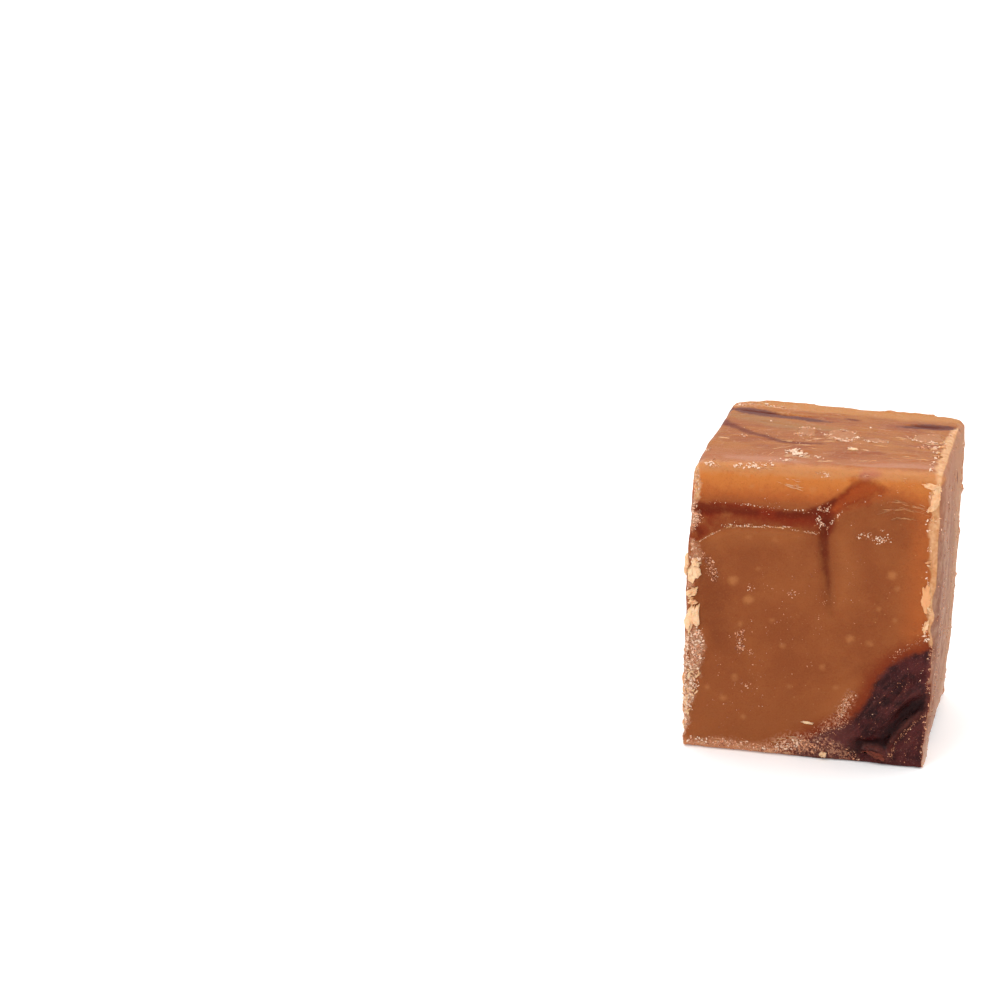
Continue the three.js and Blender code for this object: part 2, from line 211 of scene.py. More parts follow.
# Where the fudge is dry and pale and breaks into crumbs, how many to a square millimetre and how big.
DRY_PATCHES = [
    ("front", 24, 0.19, [(-12.3, 30.9, 0.2), (-12.0, 29, 0.35), (-12.1, 27.6, 0.3)]),
    ("front", 16, 0.22, [(-12.3, 26.9, 0.3), (-12.2, 25.2, 0.4), (-12.4, 24, 0.2)]),
    ("front", 8, 0.26, [(-12.2, 22.8, 0.25), (-11.9, 21.4, 0.4), (-12.2, 19.4, 0.5), (-12.5, 17, 0.3)]),
    ("front", 36, 0.24, [
        (-11.7, 13.4, 0.5), (-11.3, 11.9, 0.8), (-11.6, 9.3, 0.6), (-11.8, 6.9, 0.5), (-12.1, 4.4, 0.4),
        (-12.2, 2.4, 0.2),
    ]),
    ("right", 5, 0.18, [(9.4, 29.5, 0.25), (9.2, 22, 0.35), (9.8, 15, 0.3), (10, 11, 0.1)]),
    ("right", 4, 0.18, [(-12, 0.3, 0.3), (0, 0.5, 0.5), (11, 0.8, 0.8)]),
    ("top", 8, 0.30, [(-12, 9.2, 0.2), (-11.1, 9.9, 0.4), (-9.6, 10.2, 0.3), (-7, 10.1, 0.1)]),
    ("top", 3, 0.14, [(3, 12.2, 0.2), (7, 12.3, 0.4), (12, 12.3, 0.3)]),
    ("left", 15, 0.23, [
        (-12.3, 12.6, 0.2), (-12.1, 9, 0.6), (-12.2, 6, 0.35), (-12.0, 3, 0.6), (-12.2, 0.5, 0.3),
    ]),
    ("left", 14, 0.22, [(12.3, 17, 0.2), (12.0, 13, 0.6), (12.2, 9, 0.3), (12.0, 5, 0.7), (12.1, 0.6, 0.3)]),
    ("left", 12, 0.24, [
        (-12, 0.2, 0.3), (-8, 0.4, 0.7), (-4, 0.2, 0.3), (2, 0.5, 0.8), (5, 0.1, 0.2), (12, 0.5, 0.7),
    ]),
    ("back", 14, 0.22, [(-12.2, 15, 0.2), (-12.0, 12, 0.6), (-12.2, 7, 0.3), (-12, 3, 0.7), (-12, 0.6, 0.4)]),
    ("back", 11, 0.23, [
        (12.3, 27, 0.2), (12.2, 22, 0.4), (12.0, 16, 0.7), (12.2, 12, 0.2), (12.0, 6, 0.6), (12.2, 0.6, 0.4),
    ]),
    ("back", 12, 0.24, [
        (-12, 0.4, 0.6), (-7, 0.2, 0.3), (-3, 0.6, 0.9), (2, 0.2, 0.3), (7, 0.5, 0.7), (12, 0.3, 0.4),
    ]),
]

# Soft pale dots of sugar under the skin of the front, across and up it, with their half widths.
SUGAR_DOTS = [
    (-6.5, 29.1, 0.25), (-0.4, 29.1, 0.3), (-5.5, 28.8, 0.15), (-6.5, 23.7, 0.2), (-3.9, 23.5, 0.2),
    (-7.3, 8.3, 0.3), (-8.4, 5.9, 0.3), (-6.2, 4.0, 0.25), (-1.6, 7.8, 0.2), (-3.8, 14.8, 0.25),
    (-10.1, 6.9, 0.25), (1.6, 10.2, 0.3), (4.2, 13.5, 0.4), (6.2, 13.2, 0.3), (8.5, 15.8, 0.2),
    (8.0, 20.6, 0.45), (8.6, 19.2, 0.2), (-7.9, 18.9, 0.5), (-6.3, 16.9, 0.5), (-5.4, 20.4, 0.2),
    (-2.6, 12.2, 0.25), (6.9, 16.9, 0.2), (3.1, 8.1, 0.25), (-7.0, 14.2, 0.2),
]
DOT_LENGTH = 0.05

# Ridges and grooves in the skin, with how high each stands.
RIDGES = [
    ("front", 0.14, [(-11.4, 22.6, 0.35), (-8.6, 24.2, 0.35), (-4.0, 24.5, 0.35), (0.2, 24.1, 0.35)]),
    ("front", 0.14, [(1.5, 24.8, 0.35), (2.9, 26.8, 0.35), (6.1, 28.6, 0.35)]),
    ("front", -0.25, [(0.9, 25, 0.5), (1.2, 21.9, 0.6), (1.7, 18.7, 0.6), (2.3, 16.2, 0.4)]),
    ("front", 0.12, [(2.4, 23.8, 1.3), (3.0, 20.4, 1.5), (3.6, 16.4, 1.0)]),
    ("front", -0.14, [(-1.8, 26.6, 0.5), (0.4, 27.1, 0.5), (1.4, 27.7, 0.5), (3.4, 29.5, 0.4)]),
    ("front", 0.10, [(2.4, 28.0, 0.5), (4.0, 29.4, 0.5), (5.2, 29.8, 0.4)]),
    ("front", 0.25, [(9.8, 10.6, 0.9), (8.4, 8.8, 1.0), (6.8, 5.6, 0.9), (5.6, 3.4, 0.7)]),
    ("front", -0.20, [(11.8, 11.2, 0.5), (10, 9.2, 0.6), (8.2, 6.4, 0.6), (6.7, 3.8, 0.5)]),
    ("front", 0.28, [
        (12.2, 9.9, 0.6), (11.3, 9.2, 0.6), (10.0, 7.8, 0.7), (8.8, 6.2, 0.7), (7.5, 4.3, 0.6),
        (6.4, 2.7, 0.4),
    ]),
    ("front", -0.40, [
        (12.2, 7.5, 0.8), (10.8, 5.9, 1.0), (9.9, 4.3, 1.0), (9.0, 2.8, 0.9), (8.1, 1.9, 0.8),
        (6.0, 2.1, 0.6),
    ]),
    ("front", 0.30, [(12.4, 5.6, 0.5), (11.5, 5.1, 0.5), (10.6, 4.2, 0.5), (9.7, 3.0, 0.4), (9.2, 1.8, 0.4)]),
    ("front", 0.25, [(6.4, 1.4, 0.5), (7.6, 1.3, 0.5), (8.4, 0.7, 0.4)]),
    ("top", 0.07, [(4, -9.8, 0.3), (8, -8.3, 0.5), (11.5, -6.8, 0.4)]),
    ("top", 0.06, [(-0.3, -10.1, 0.3), (4, -11.3, 0.5), (11.5, -10.7, 0.3)]),
    ("top", 0.07, [(-10.8, -2, 0.3), (-8.4, -2, 0.5), (-6, -2.6, 0.3)]),
    ("top", 0.08, [(2.5, -6.5, 0.3), (6, -5.8, 0.6), (9, -5.8, 0.3)]),
    ("top", 0.22, [(3.6, 12.2, 0.6), (6.0, 12.3, 0.9), (9.0, 12.2, 0.5)]),
    ("top", -0.20, [(1.4, 12.3, 0.6), (2.6, 12.3, 0.5)]),
    ("top", 0.15, [(-9, 12.2, 0.8), (-4, 12.3, 0.6)]),
    ("top", 0.08, [(-12, 9.4, 0.5), (-9.6, 9.6, 0.6), (-5, 8.5, 0.5), (0, 8.8, 0.3)]),
    ("top", -0.04, [
        (-12.4, 7.9, 0.6), (-10.3, 7.7, 1.0), (-7.5, 7.2, 0.9), (-4.7, 6.6, 0.7), (-1.5, 6.3, 0.3),
    ]),
    ("top", -0.10, [(6.8, 5.9, 0.5), (9, 6.8, 1), (11.6, 7.5, 0.5)]),
    ("top", -0.08, [(-8, 3.8, 0.4), (-2, 2.4, 0.6), (4, 3, 0.4)]),
]
TALLEST_RIDGE = 0.4
RIDGE_REACH = 1.4
THINNEST_RIDGE = 0.1

# Waves in the skin everywhere, where it is dry and where it is chocolate, each with its length too.
SWELL_DEPTH, SWELL_LENGTH = 0.10, 2.4
CRUMBLE_DEPTH, CRUMBLE_LENGTH = 0.4, 0.7
FOLD_DEPTH, FOLD_LENGTH = 0.12, 0.9

# A vertex belongs to a face when it lies this close behind it and faces it at least this much.
WALL_DEPTH = 1.4
LEAST_FACING = 0.15
FAR_AWAY = 9.0
CURVE_STEPS = 4


def make_active(piece):
    bpy.ops.object.select_all(action="DESELECT")
    piece.select_set(True)
    bpy.context.view_layer.objects.active = piece


def apply_modifier(piece, kind, **settings):
    make_active(piece)
    modifier = piece.modifiers.new(kind.title(), kind)
    for name, value in settings.items():
        setattr(modifier, name, value)
    bpy.ops.object.modifier_apply(modifier=modifier.name)


def displace(piece, depth, **settings):
    apply_modifier(piece, "DISPLACE", strength=depth * MM, **settings)


def clouds(name, size):
    texture = bpy.data.textures.new(name, "CLOUDS")
    texture.noise_scale = size * MM
    texture.noise_depth = 2
    return texture


def fade(low, high, value):
    """0 where the value is at low and 1 where it is at high, with a soft step between."""
    share = np.clip((value - low) / (high - low), 0, 1)
    return share * share * (3 - 2 * share)


def corner_pull(places):
    """How far the leaning knife moved each place on the true block."""
    share = places / (CUT, CUT, SLAB_HEIGHT) + (0.5, 0.5, 0)
    pull = np.zeros_like(places)
    for corner, offset in CORNER_OFFSETS.items():
        nearness = np.prod(np.where(corner, share, 1 - share), axis=1)
        pull += nearness[:, None] * offset
    return pull


def along_path(places, path):
    """Each place's distance to a path of straight stretches, and the path's half width there."""
    path = np.array(path, float)
    nearest = np.full(len(places), np.inf)
    half_width = np.zeros(len(places))
    for start, end in zip(path[:-1], path[1:]):
        run = end[:2] - start[:2]
        share = np.clip((places - start[:2]) @ run / (run @ run), 0, 1)
        distance = np.linalg.norm(places - start[:2] - share[:, None] * run, axis=1)
        closer = distance < nearest
        nearest = np.where(closer, distance, nearest)
        if len(start) == 3:
            half_width = np.where(closer, start[2] + share * (end[2] - start[2]), half_width)
    return nearest, half_width


def rounded(path):
    """A path through the same places with its corners rounded off."""
    path = np.array(path, float)
    knots = np.vstack([2 * path[0] - path[1], path, 2 * path[-1] - path[-2]])
    share = np.arange(CURVE_STEPS)[:, None] / CURVE_STEPS
    stretches = []
    for before, start, end, after in zip(knots[:-3], knots[1:-2], knots[2:-1], knots[3:]):
        bend = 2 * before - 5 * start + 4 * end - after
        turn = 3 * start - before - 3 * end + after
        stretches.append(start + ((end - before) * share + bend * share**2 + turn * share**3) / 2)
    return np.vstack([*stretches, path[-1:]])


def side_of_line(places, line):
    """The distance of each place to a line that runs to the right: above it more than 0."""
    line = np.array(line, float)
    distance, _ = along_path(places, line)
    return np.where(places[:, 1] > np.interp(places[:, 0], line[:, 0], line[:, 1]), distance, -distance)


def skin_of(piece):
    """For each face of the block, its vertices' places across and up it and how much they face it."""
    mesh = piece.data
    places = np.zeros(len(mesh.vertices) * 3, np.float32)
    mesh.vertices.foreach_get("co", places)
    places = places.reshape(-1, 3).astype(float) / MM - BASE_SHIFT
    places = places - corner_pull(places)
    facings = np.zeros(len(mesh.vertices) * 3, np.float32)
    mesh.vertex_normals.foreach_get("vector", facings)
    facings = facings.reshape(-1, 3)
    x, y, z = places.T
    wall = CUT / 2 - WALL_DEPTH
    return {
        "front": (places[:, [0, 2]], -facings[:, 1] * (y < -wall)),
        "back": (places[:, [0, 2]], facings[:, 1] * (y > wall)),
        "left": (places[:, [1, 2]], -facings[:, 0] * (x < -wall)),
        "right": (places[:, [1, 2]], facings[:, 0] * (x > wall)),
        "top": (places[:, [0, 1]], facings[:, 2] * (z > SLAB_HEIGHT - WALL_DEPTH)),
    }, places


def edge_of_lines(skin, lines):
    """The distance of each vertex to the edge of the nearest of the lines: inside less than 0."""
    edge = np.full(len(skin["top"][1]), FAR_AWAY)
    for face, *_, path in lines:
        places, facing = skin[face]
        facing_it = np.nonzero(facing > LEAST_FACING)[0]
        distance, half_width = along_path(places[facing_it], rounded(path))
        edge[facing_it] = np.minimum(edge[facing_it], distance - half_width)
    return edge


def weigh(piece, name, weights):
    group = piece.vertex_groups.new(name=name)
    for index in np.nonzero(weights > 0.001)[0].tolist():
        group.add([index], float(weights[index]), "REPLACE")


def store(piece, name, values):
    attribute = piece.data.attributes.new(name, "FLOAT", "POINT")
    attribute.data.foreach_set("value", values.astype(np.float32))


class Reading:
    """What a material reads or works out at each place, to add, take away and multiply as a number."""

    def __init__(self, socket):
        self.socket = socket
        self.tree = socket.id_data

    def beside(self, output):
        """Another output of the same node."""
        return Reading(self.socket.node.outputs[output])

    def maths(self, operation, other):
        return add_node(self.tree, "Math", 0, {0: self, 1: other}, operation=operation)

    def __add__(self, other):
        return self.maths("ADD", other)

    def __sub__(self, other):
        return self.maths("SUBTRACT", other)

    def __mul__(self, other):
        return self.maths("MULTIPLY", other)

    def __abs__(self):
        return self.maths("ABSOLUTE", 0)


def fill_inputs(node, inputs):
    """Set a node's inputs to numbers and colours, or link them to what is read elsewhere."""
    for name, value in inputs.items():
        if isinstance(value, Reading):
            node.id_data.links.new(value.socket, node.inputs[name])
        else:
            node.inputs[name].default_value = value


def add_node(tree, kind, output, inputs, **settings):
    node = tree.nodes.new("ShaderNode" + kind)
    for name, value in settings.items():
        setattr(node, name, value)
    fill_inputs(node, inputs)
    return Reading(node.outputs[output])


def stored(tree, name):
    return add_node(tree, "Attribute", "Fac", {}, attribute_name=name)


def millimetres(tree, stretch=(1, 1, 1), climb=0):
    """Places on the piece in millimetres, shrunk along an axis to stretch what is drawn there.

    The first axis climbs from X towards Z by so many degrees.
    """
    place = add_node(tree, "TexCoord", "Object", {})
    inputs = {"Vector": place, "Rotation": (0, -math.radians(climb), 0)}
    inputs["Scale"] = [MM / share for share in stretch]
    return add_node(tree, "Mapping", "Vector", inputs, vector_type="TEXTURE")


def mottle(place, size, detail=3.0, roughness=0.55):
    """Noise from -0.5 to 0.5, its bumps `size` millimetres across."""
    inputs = {"Vector": place, "Scale": 1 / size, "Detail": detail, "Roughness": roughness}
    return add_node(place.tree, "TexNoise", "Fac", inputs) - 0.5


def cells(place, per_millimetre):
    """How far it is to the nearest of many strewn points, so many of them along a millimetre."""
    inputs = {"Vector": place, "Scale": per_millimetre}
    return add_node(place.tree, "TexVoronoi", "Distance", inputs, feature="F1")


def mask(value, low, high):
    """0 where the value is at low and 1 where it is at high, with a soft step between."""
    inputs = {"Value": value, "From Min": low, "From Max": high}
    return add_node(value.tree, "MapRange", "Result", inputs, interpolation_type="SMOOTHSTEP")


def between(share, start, end):
    """From one number to another as the share goes from 0 to 1."""
    return add_node(share.tree, "MapRange", "Result", {"Value": share, "To Min": start, "To Max": end})


# A Mix node's sockets for colours, which stand beside those for numbers and for vectors.
MIX_AMOUNT, MIX_UNDER, MIX_OVER, MIX_RESULT = 0, 6, 7, 2


def paint(under, colour, amount):
    """One colour laid over another, as thick as the amount says."""
    under, colour = ((*value, 1) if isinstance(value, tuple) else value for value in (under, colour))
    inputs = {MIX_AMOUNT: amount, MIX_UNDER: under, MIX_OVER: colour}
    return add_node(amount.tree, "Mix", MIX_RESULT, inputs, data_type="RGBA")


def mark(under, name, wander, faint, full, colour, strength):
    """Paint the stored lines of that name: faint and full say how far from their edge, in millimetres."""
    return paint(under, colour, mask(stored(wander.tree, name) + wander, faint, full) * strength)


def relief_of(height):
    """Relief finer than the mesh, from its height in millimetres."""
    return add_node(height.tree, "Bump", "Normal", {"Height": height, "Distance": MM, "Strength": 1.0})


def new_material(name):
    material = bpy.data.materials.new(name)
    material.use_nodes = True
    tree = material.node_tree
    return material, tree, tree.nodes["Principled BSDF"]


make_active(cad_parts["fudge_cube"])
bpy.ops.object.duplicate()
body = bpy.context.active_object
body.name = body.data.name = "fudge_body"
for key in list(body.keys()):
    del body[key]
body.parent = None
body.data.materials.clear()
bpy.ops.object.mode_set(mode="EDIT")
bpy.ops.mesh.select_all(action="SELECT")
bpy.ops.mesh.remove_doubles(threshold=SAME_PLACE * MM)
bpy.ops.object.mode_set(mode="OBJECT")
apply_modifier(body, "REMESH", mode="VOXEL", voxel_size=SKIN_GRID * MM)

skin, places = skin_of(body)
chocolate = side_of_line(skin["front"][0], CHOCOLATE_RIM) + RIM_LEAN * (places[:, 1] + CUT / 2)
in_fold = fade(1.2, 0.6, chocolate) * fade(12.5, 11.9, places[:, 0]) * fade(0.3, 1.3, places[:, 2])
dry = edge_of_lines(skin, DRY_PATCHES)
strands = edge_of_lines(skin, MARKS["dark"])
lift = np.zeros(len(places))
for face, height, path in RIDGES:
    face_places, facing = skin[face]
    distance, half_width = along_path(face_places, rounded(path))
    lift += (
        height
        * fade(RIDGE_REACH, 0, distance / np.maximum(half_width, THINNEST_RIDGE))
        * fade(0.4, 0.8, facing)
    )
ledge = np.abs(side_of_line(skin["front"][0], BAND_LEDGE)) + 4 * (skin["front"][1] < 0.5)
plain = fade(0, 0.8, np.minimum.reduce([dry - 0.6, chocolate - 0.6, strands - 0.5, ledge - 0.5]))
weigh(body, "raised", np.clip(lift / TALLEST_RIDGE, 0, 1))
weigh(body, "sunk", np.clip(-lift / TALLEST_RIDGE, 0, 1))
weigh(body, "dry", fade(0.3, -0.3, dry))
weigh(body, "chocolate", fade(0.2, -0.3, chocolate))
weigh(body, "plain", plain)
weigh(body, "fold", in_fold)

apply_modifier(body, "SMOOTH", factor=0.6, iterations=14, vertex_group="plain")
apply_modifier(body, "SMOOTH", factor=0.8, iterations=180, vertex_group="fold")
displace(body, TALLEST_RIDGE, mid_level=0, vertex_group="raised")
displace(body, -TALLEST_RIDGE, mid_level=0, vertex_group="sunk")
displace(body, SWELL_DEPTH, texture=clouds("swells", SWELL_LENGTH))
displace(body, CRUMBLE_DEPTH, texture=clouds("crumbling", CRUMBLE_LENGTH), vertex_group="dry")
displace(body, FOLD_DEPTH, texture=clouds("folds", FOLD_LENGTH), vertex_group="chocolate")
body.vertex_groups.clear()
for vertex in body.data.vertices:
    vertex.co.z = max(vertex.co.z, 0)

# How far each vertex is over the top's edge, and how much it belongs to the right side, to the red
# band and to the thin parts that glow: the shoulder all round and the front's right edge.
skin, places = skin_of(body)
front, on_front = skin["front"]
over_edge = CUT / 2 - np.abs(places[:, :2]).max(axis=1) - SLAB_HEIGHT + places[:, 2]
on_side = fade(0.15, 0.5, skin["right"][1]) * fade(11.8, 12.3, places[:, 0])
under_rim = -side_of_line(front, BAND_RIM)
over_ledge = side_of_line(front, BAND_LEDGE)
on_front_side = fade(0.3, 0.7, on_front)
in_band = fade(-0.6, 0.7, under_rim) * fade(-0.05, 0.2, over_ledge)
in_band = in_band * on_front_side * fade(6.2, 3.4, places[:, 0])
in_band = in_band * (0.45 + 0.55 * fade(2.2, 0.3, under_rim) + 0.3 * fade(-9, -11.5, front[:, 0]))
right_strip = fade(7.4, 11.6, front[:, 0]) * on_front_side * fade(9, 15, places[:, 2])
past_fold = fade(2, 7, front[:, 0])
shoulder = fade(26.2 + 1.0 * past_fold, 30.0 + 0.8 * past_fold, places[:, 2])
shoulder = shoulder * fade(-9.0, -11.6, places[:, 1]) * (1 - 0.12 * past_fold)
behind = fade(28.2, 30.6, places[:, 2]) * fade(10.8, 11.9, np.maximum(places[:, 1], -places[:, 0]))
shoulder = np.maximum(shoulder, 0.35 * behind) * fade(0.2, -1.0, over_edge)
store(body, "over_edge", over_edge)
store(body, "side", on_side)
store(body, "band", in_band)
store(body, "glow", np.clip(shoulder + 0.5 * right_strip, 0, 1) * (1 - on_side))
store(body, "chocolate", chocolate)
store(body, "dry", edge_of_lines(skin, DRY_PATCHES))
dots = [("front", [(across, up, half), (across + DOT_LENGTH, up, half)]) for across, up, half in SUGAR_DOTS]
store(body, "dot", edge_of_lines(skin, dots))
for name, lines in MARKS.items():
    store(body, name, edge_of_lines(skin, lines))
bpy.ops.object.shade_smooth()

SPECKS_PER_MM = 1.1
GRAINS_PER_MM = 2.6
FOLD_CLIMB = 52

fudge, tree, shader = new_material("fudge")
place = millimetres(tree)
place_x = add_node(tree, "SeparateXYZ", "X", {"Vector": place})
place_y, place_z = place_x.beside("Y"), place_x.beside("Z")
coarse = mottle(place, 4.5)
medium = mottle(place, 1.3)
fine = mottle(place, 0.45)
finest = mottle(place, 0.16, 2.0)
side = stored(tree, "side")

# The caramel of the faces, paler towards the foot.
colour = paint((0.248, 0.065, 0.0195), (0.294, 0.085, 0.0250), mask(coarse + medium * 0.4, -0.2, 0.25))
colour = mark(colour, "shade", coarse * 1.6, 1.6, -0.6, (0.155, 0.034, 0.010), 0.4)
colour = mark(colour, "haze", coarse * 1.6, 1.6, -0.8, (0.44, 0.150, 0.045), 0.32)
colour = paint(colour, (0.300, 0.088, 0.0265), mask(place_z + coarse * 8.0, 10.0, 3.0) * 0.6)

# The top, drawn out from left to right by the knife, with pale swirls.
dragged = mottle(millimetres(tree, (0.10, 0.8, 1)), 0.8)
top = paint((0.37, 0.128, 0.030), (0.275, 0.074, 0.024), mask(coarse + dragged * 0.7, -0.2, 0.25))
top = paint(top, (0.36, 0.119, 0.042), mask(place_y + coarse * 8.0, -5.0, -10.0))
top = paint(top, (0.45, 0.180, 0.050), mask(place_y + coarse * 6.0, 8.4, 10.4))
top = mark(top, "tan", coarse * 2.0, 1.0, -0.6, (0.32, 0.145, 0.052), 0.7)
# Painted sheen: a lilac cast where the glossy ridges near the front of the top catch the light.
top = mark(top, "lilac_sheen", medium * 1.2, 0.7, -0.5, (0.44, 0.185, 0.105), 0.75)
swirls = mask(abs(mottle(place, 2.0, 2.0)), 0.030, 0.0) * mask(medium, -0.10, 0.15)
top = paint(top, (0.60, 0.32, 0.20), swirls * 0.3)
edge = stored(tree, "over_edge") + (medium * 1.4 + fine * 0.7)
topmost = mask(edge, -0.7, 0.4)
colour = paint(colour, top, topmost)

# The right side: a dried skin whose grey mauve is partly painted sheen of light glancing off it, paler at its
# foot and tan at its rear.
grains = mottle(millimetres(tree, (1, 0.75, 0.55)), 0.7, 4.0, 0.72)
upright = mottle(millimetres(tree, (1, 0.30, 0.05)), 1.0, 1.0)
side_skin_and_sheen = paint((0.248, 0.113, 0.076), (0.44, 0.255, 0.175), mask(grains + upright * 0.6, -0.22, 0.27))
rearward = place_y + (coarse * 7.0 + medium * 4.0)
height = place_z + coarse * 5.0
side_skin_and_sheen = paint(side_skin_and_sheen, (0.50, 0.27, 0.155), mask(rearward, -4.0, 9.0) * 0.65)
side_skin_and_sheen = paint(side_skin_and_sheen, (0.58, 0.375, 0.29), mask(height, 5.0, 0.5) * 0.9)
side_skin_and_sheen = paint(side_skin_and_sheen, (0.41, 0.175, 0.100), mask(height, 22.0, 30.0) * 0.5)
side_skin_and_sheen = paint(side_skin_and_sheen, (0.42, 0.165, 0.065), mask(rearward, 9.6, 12.6))
colour = paint(colour, side_skin_and_sheen, side * 0.95)
# A painted glow along the foot of the other faces: a thin paler band just above the floor.
foot = mask(place_z + medium * 2.0, 1.5, 0.2) * mask(side, 1.0, 0.3)
colour = paint(colour, (0.58, 0.250, 0.125), foot * 0.8)

# The painted orange glow of light through the thin parts, brightest along the shoulder, with painted yellow
# highlights in it, and a painted highlight along the lip over it.
thin = stored(tree, "glow")
glow = thin + (medium + fine) * thin * 0.6
colour = paint(colour, (0.40, 0.100, 0.024), mask(glow, 0.0, 0.6) * 0.85)
colour = paint(colour, (0.50, 0.146, 0.033), mask(glow, 0.35, 1.0) * 0.95)
# Painted highlights, yellower, high in the glow.
sunlit = mask(edge, -2.8, -1.0) * mask(glow, 0.3, 0.9)
colour = paint(colour, (0.64, 0.235, 0.055), sunlit * 0.34)
# A painted highlight along the lip of the shoulder, over the glow.
lip_highlight = mask(edge, -1.2, -0.3) * mask(edge, 2.2, 0.2) * mask(place_y + medium * 2.0, -10.0, -11.8)
colour = paint(colour, (0.56, 0.238, 0.088), lip_highlight * 0.85)

# The red of chocolate that lies just under the skin: the band, the leaf, the knot and the rim.
banded = mask(stored(tree, "band") + (medium * 0.5 + fine * 0.4), 0.05, 0.95)
colour = paint(colour, (0.185, 0.018, 0.0045), banded * mask(medium + coarse, 0.42, -0.02))
leaf_wander = medium * 1.6 + fine * 0.8
colour = mark(colour, "red_leaf", leaf_wander, 0.75, -0.45, (0.24, 0.036, 0.009), 0.80)
colour = mark(colour, "red_leaf", leaf_wander, 0.1, -0.7, (0.36, 0.070, 0.014), 0.7)
colour = mark(colour, "junction", medium * 0.8, 0.4, -0.5, (0.15, 0.016, 0.005), 0.8)
ragged = medium * 1.6 + fine * 1.4
rim = stored(tree, "chocolate") + ragged * 0.40
front_only = mask(side + fine * 0.6, 0.75, 0.25)
colour = paint(colour, (0.190, 0.028, 0.008), mask(rim, 2.2, 0.1) * front_only * 0.95)
colour = mark(colour, "stain", medium, 0.4, -0.5, (0.095, 0.024, 0.018), 0.75)
colour = mark(colour, "smear", medium, 0.5, -0.4, (0.43, 0.145, 0.095), 0.75)
colour = mark(colour, "faint", medium * 0.7, 0.4, -0.3, (0.12, 0.013, 0.004), 0.8)

# Dots, specks and powder of sugar, and the finest grain of the fudge.
colour = mark(colour, "dot", fine * 0.5, 0.25, -0.35, (0.52, 0.20, 0.068), 0.5)
specks = cells(place, SPECKS_PER_MM)
speck_size = add_node(tree, "SeparateColor", 1, {"Color": specks.beside("Color")}) * 0.11
colour = paint(colour, (0.60, 0.27, 0.11), mask(specks - speck_size, 0.05, -0.06) * 0.6)
powder = mask(mottle(place, 0.10, 1.0), 0.20, 0.34) * mask(medium, -0.15, 0.2)
colour = paint(colour, (0.62, 0.32, 0.16), powder * 0.40)
colour = paint(colour, (0.13, 0.024, 0.006), mask(finest, 0.0, -0.35) * 0.3)
colour = paint(colour, (0.42, 0.150, 0.050), mask(finest, 0.0, 0.35) * 0.2)

# The dark strands, the dry pale crust and the smooth cream edges.
dark = stored(tree, "dark") + (medium + fine) * 0.65
colour = paint(colour, (0.132, 0.037, 0.025), mask(dark, 0.40, -0.36))
dryness = mask(stored(tree, "dry") + ragged, 0.25, -0.3)
crust = paint((0.42, 0.165, 0.085), (0.74, 0.45, 0.285), mask(fine + finest, -0.2, 0.3))
colour = paint(colour, crust, dryness * 0.85)
cream = paint((0.56, 0.26, 0.105), (0.80, 0.50, 0.28), mask(medium + fine, -0.35, 0.35))
creamy = mask(stored(tree, "cream") + (medium * 1.3 + fine * 0.4), 0.15, -0.25) * mask(side, 0.95, 0.45)
colour = paint(colour, cream, creamy * 0.8)

# The folded chocolate, with streaks drawn up along the fold whose crests are painted lighter as a highlight,
# and the sugar that bloomed over it.
in_chocolate = mask(rim, 0.30, -0.45) * front_only
cocoa = paint((0.021, 0.0034, 0.0038), (0.080, 0.0130, 0.0122), mask(coarse + medium, -0.22, 0.26))
cocoa = paint(cocoa, (0.125, 0.034, 0.026), mask(place_x + medium * 3.0, 6.0, 2.5) * 0.75)
cocoa = paint(cocoa, (0.21, 0.085, 0.072), mask(finest, 0.06, 0.28) * 0.7)
drawn = mottle(millimetres(tree, (0.16, 1, 1), FOLD_CLIMB), 0.75, 2.0)
# A painted highlight: the crests of the drawn folds painted lighter.
cocoa = paint(cocoa, (0.115, 0.028, 0.024), mask(drawn, 0.02, 0.24) * 0.5)
cocoa = mark(cocoa, "valley", medium, 0.8, -0.5, (0.012, 0.0020, 0.0021), 0.85)
cocoa = mark(cocoa, "chocolate_edge", fine * 0.5, 0.35, -0.2, (0.20, 0.055, 0.042), 0.45)
colour = paint(colour, cocoa, in_chocolate)
sugar = mask(mottle(place, 0.22, 2.0) + fine * 0.6, -0.05, 0.16)
bloomed = mask(stored(tree, "bloom") + medium, 0.5, -0.4) * sugar
colour = paint(colour, (0.56, 0.265, 0.160), bloomed * 0.6)

relief = finest * 0.05 + fine * 0.05 + dragged * topmost * 0.05 + grains * side * 0.07
granular = (cells(place, GRAINS_PER_MM) - 0.4) * -0.30
relief = relief + granular * dryness + (fine * 0.12 + drawn * 0.45) * in_chocolate
fill_inputs(shader, {
    "Base Color": colour,
    "Normal": relief_of(relief),
    "Roughness": between(dryness.maths("MAXIMUM", side), 0.36, 0.8),
    "Coat Weight": between(in_chocolate, 0.0, 0.10),
    "Coat Roughness": 0.32,
    "Specular IOR Level": 0.05,
    "Subsurface Weight": 0.3,
    "Subsurface Radius": (1.0, 0.30, 0.12),
    "Subsurface Scale": 1.6 * MM,
})
body.data.materials.append(fudge)

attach(body, "root")
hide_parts("fudge_cube")

# The flakes: thin leaves of dried fudge that the knife lifted, pressed flat against the faces and
# over the edges, where they cling.

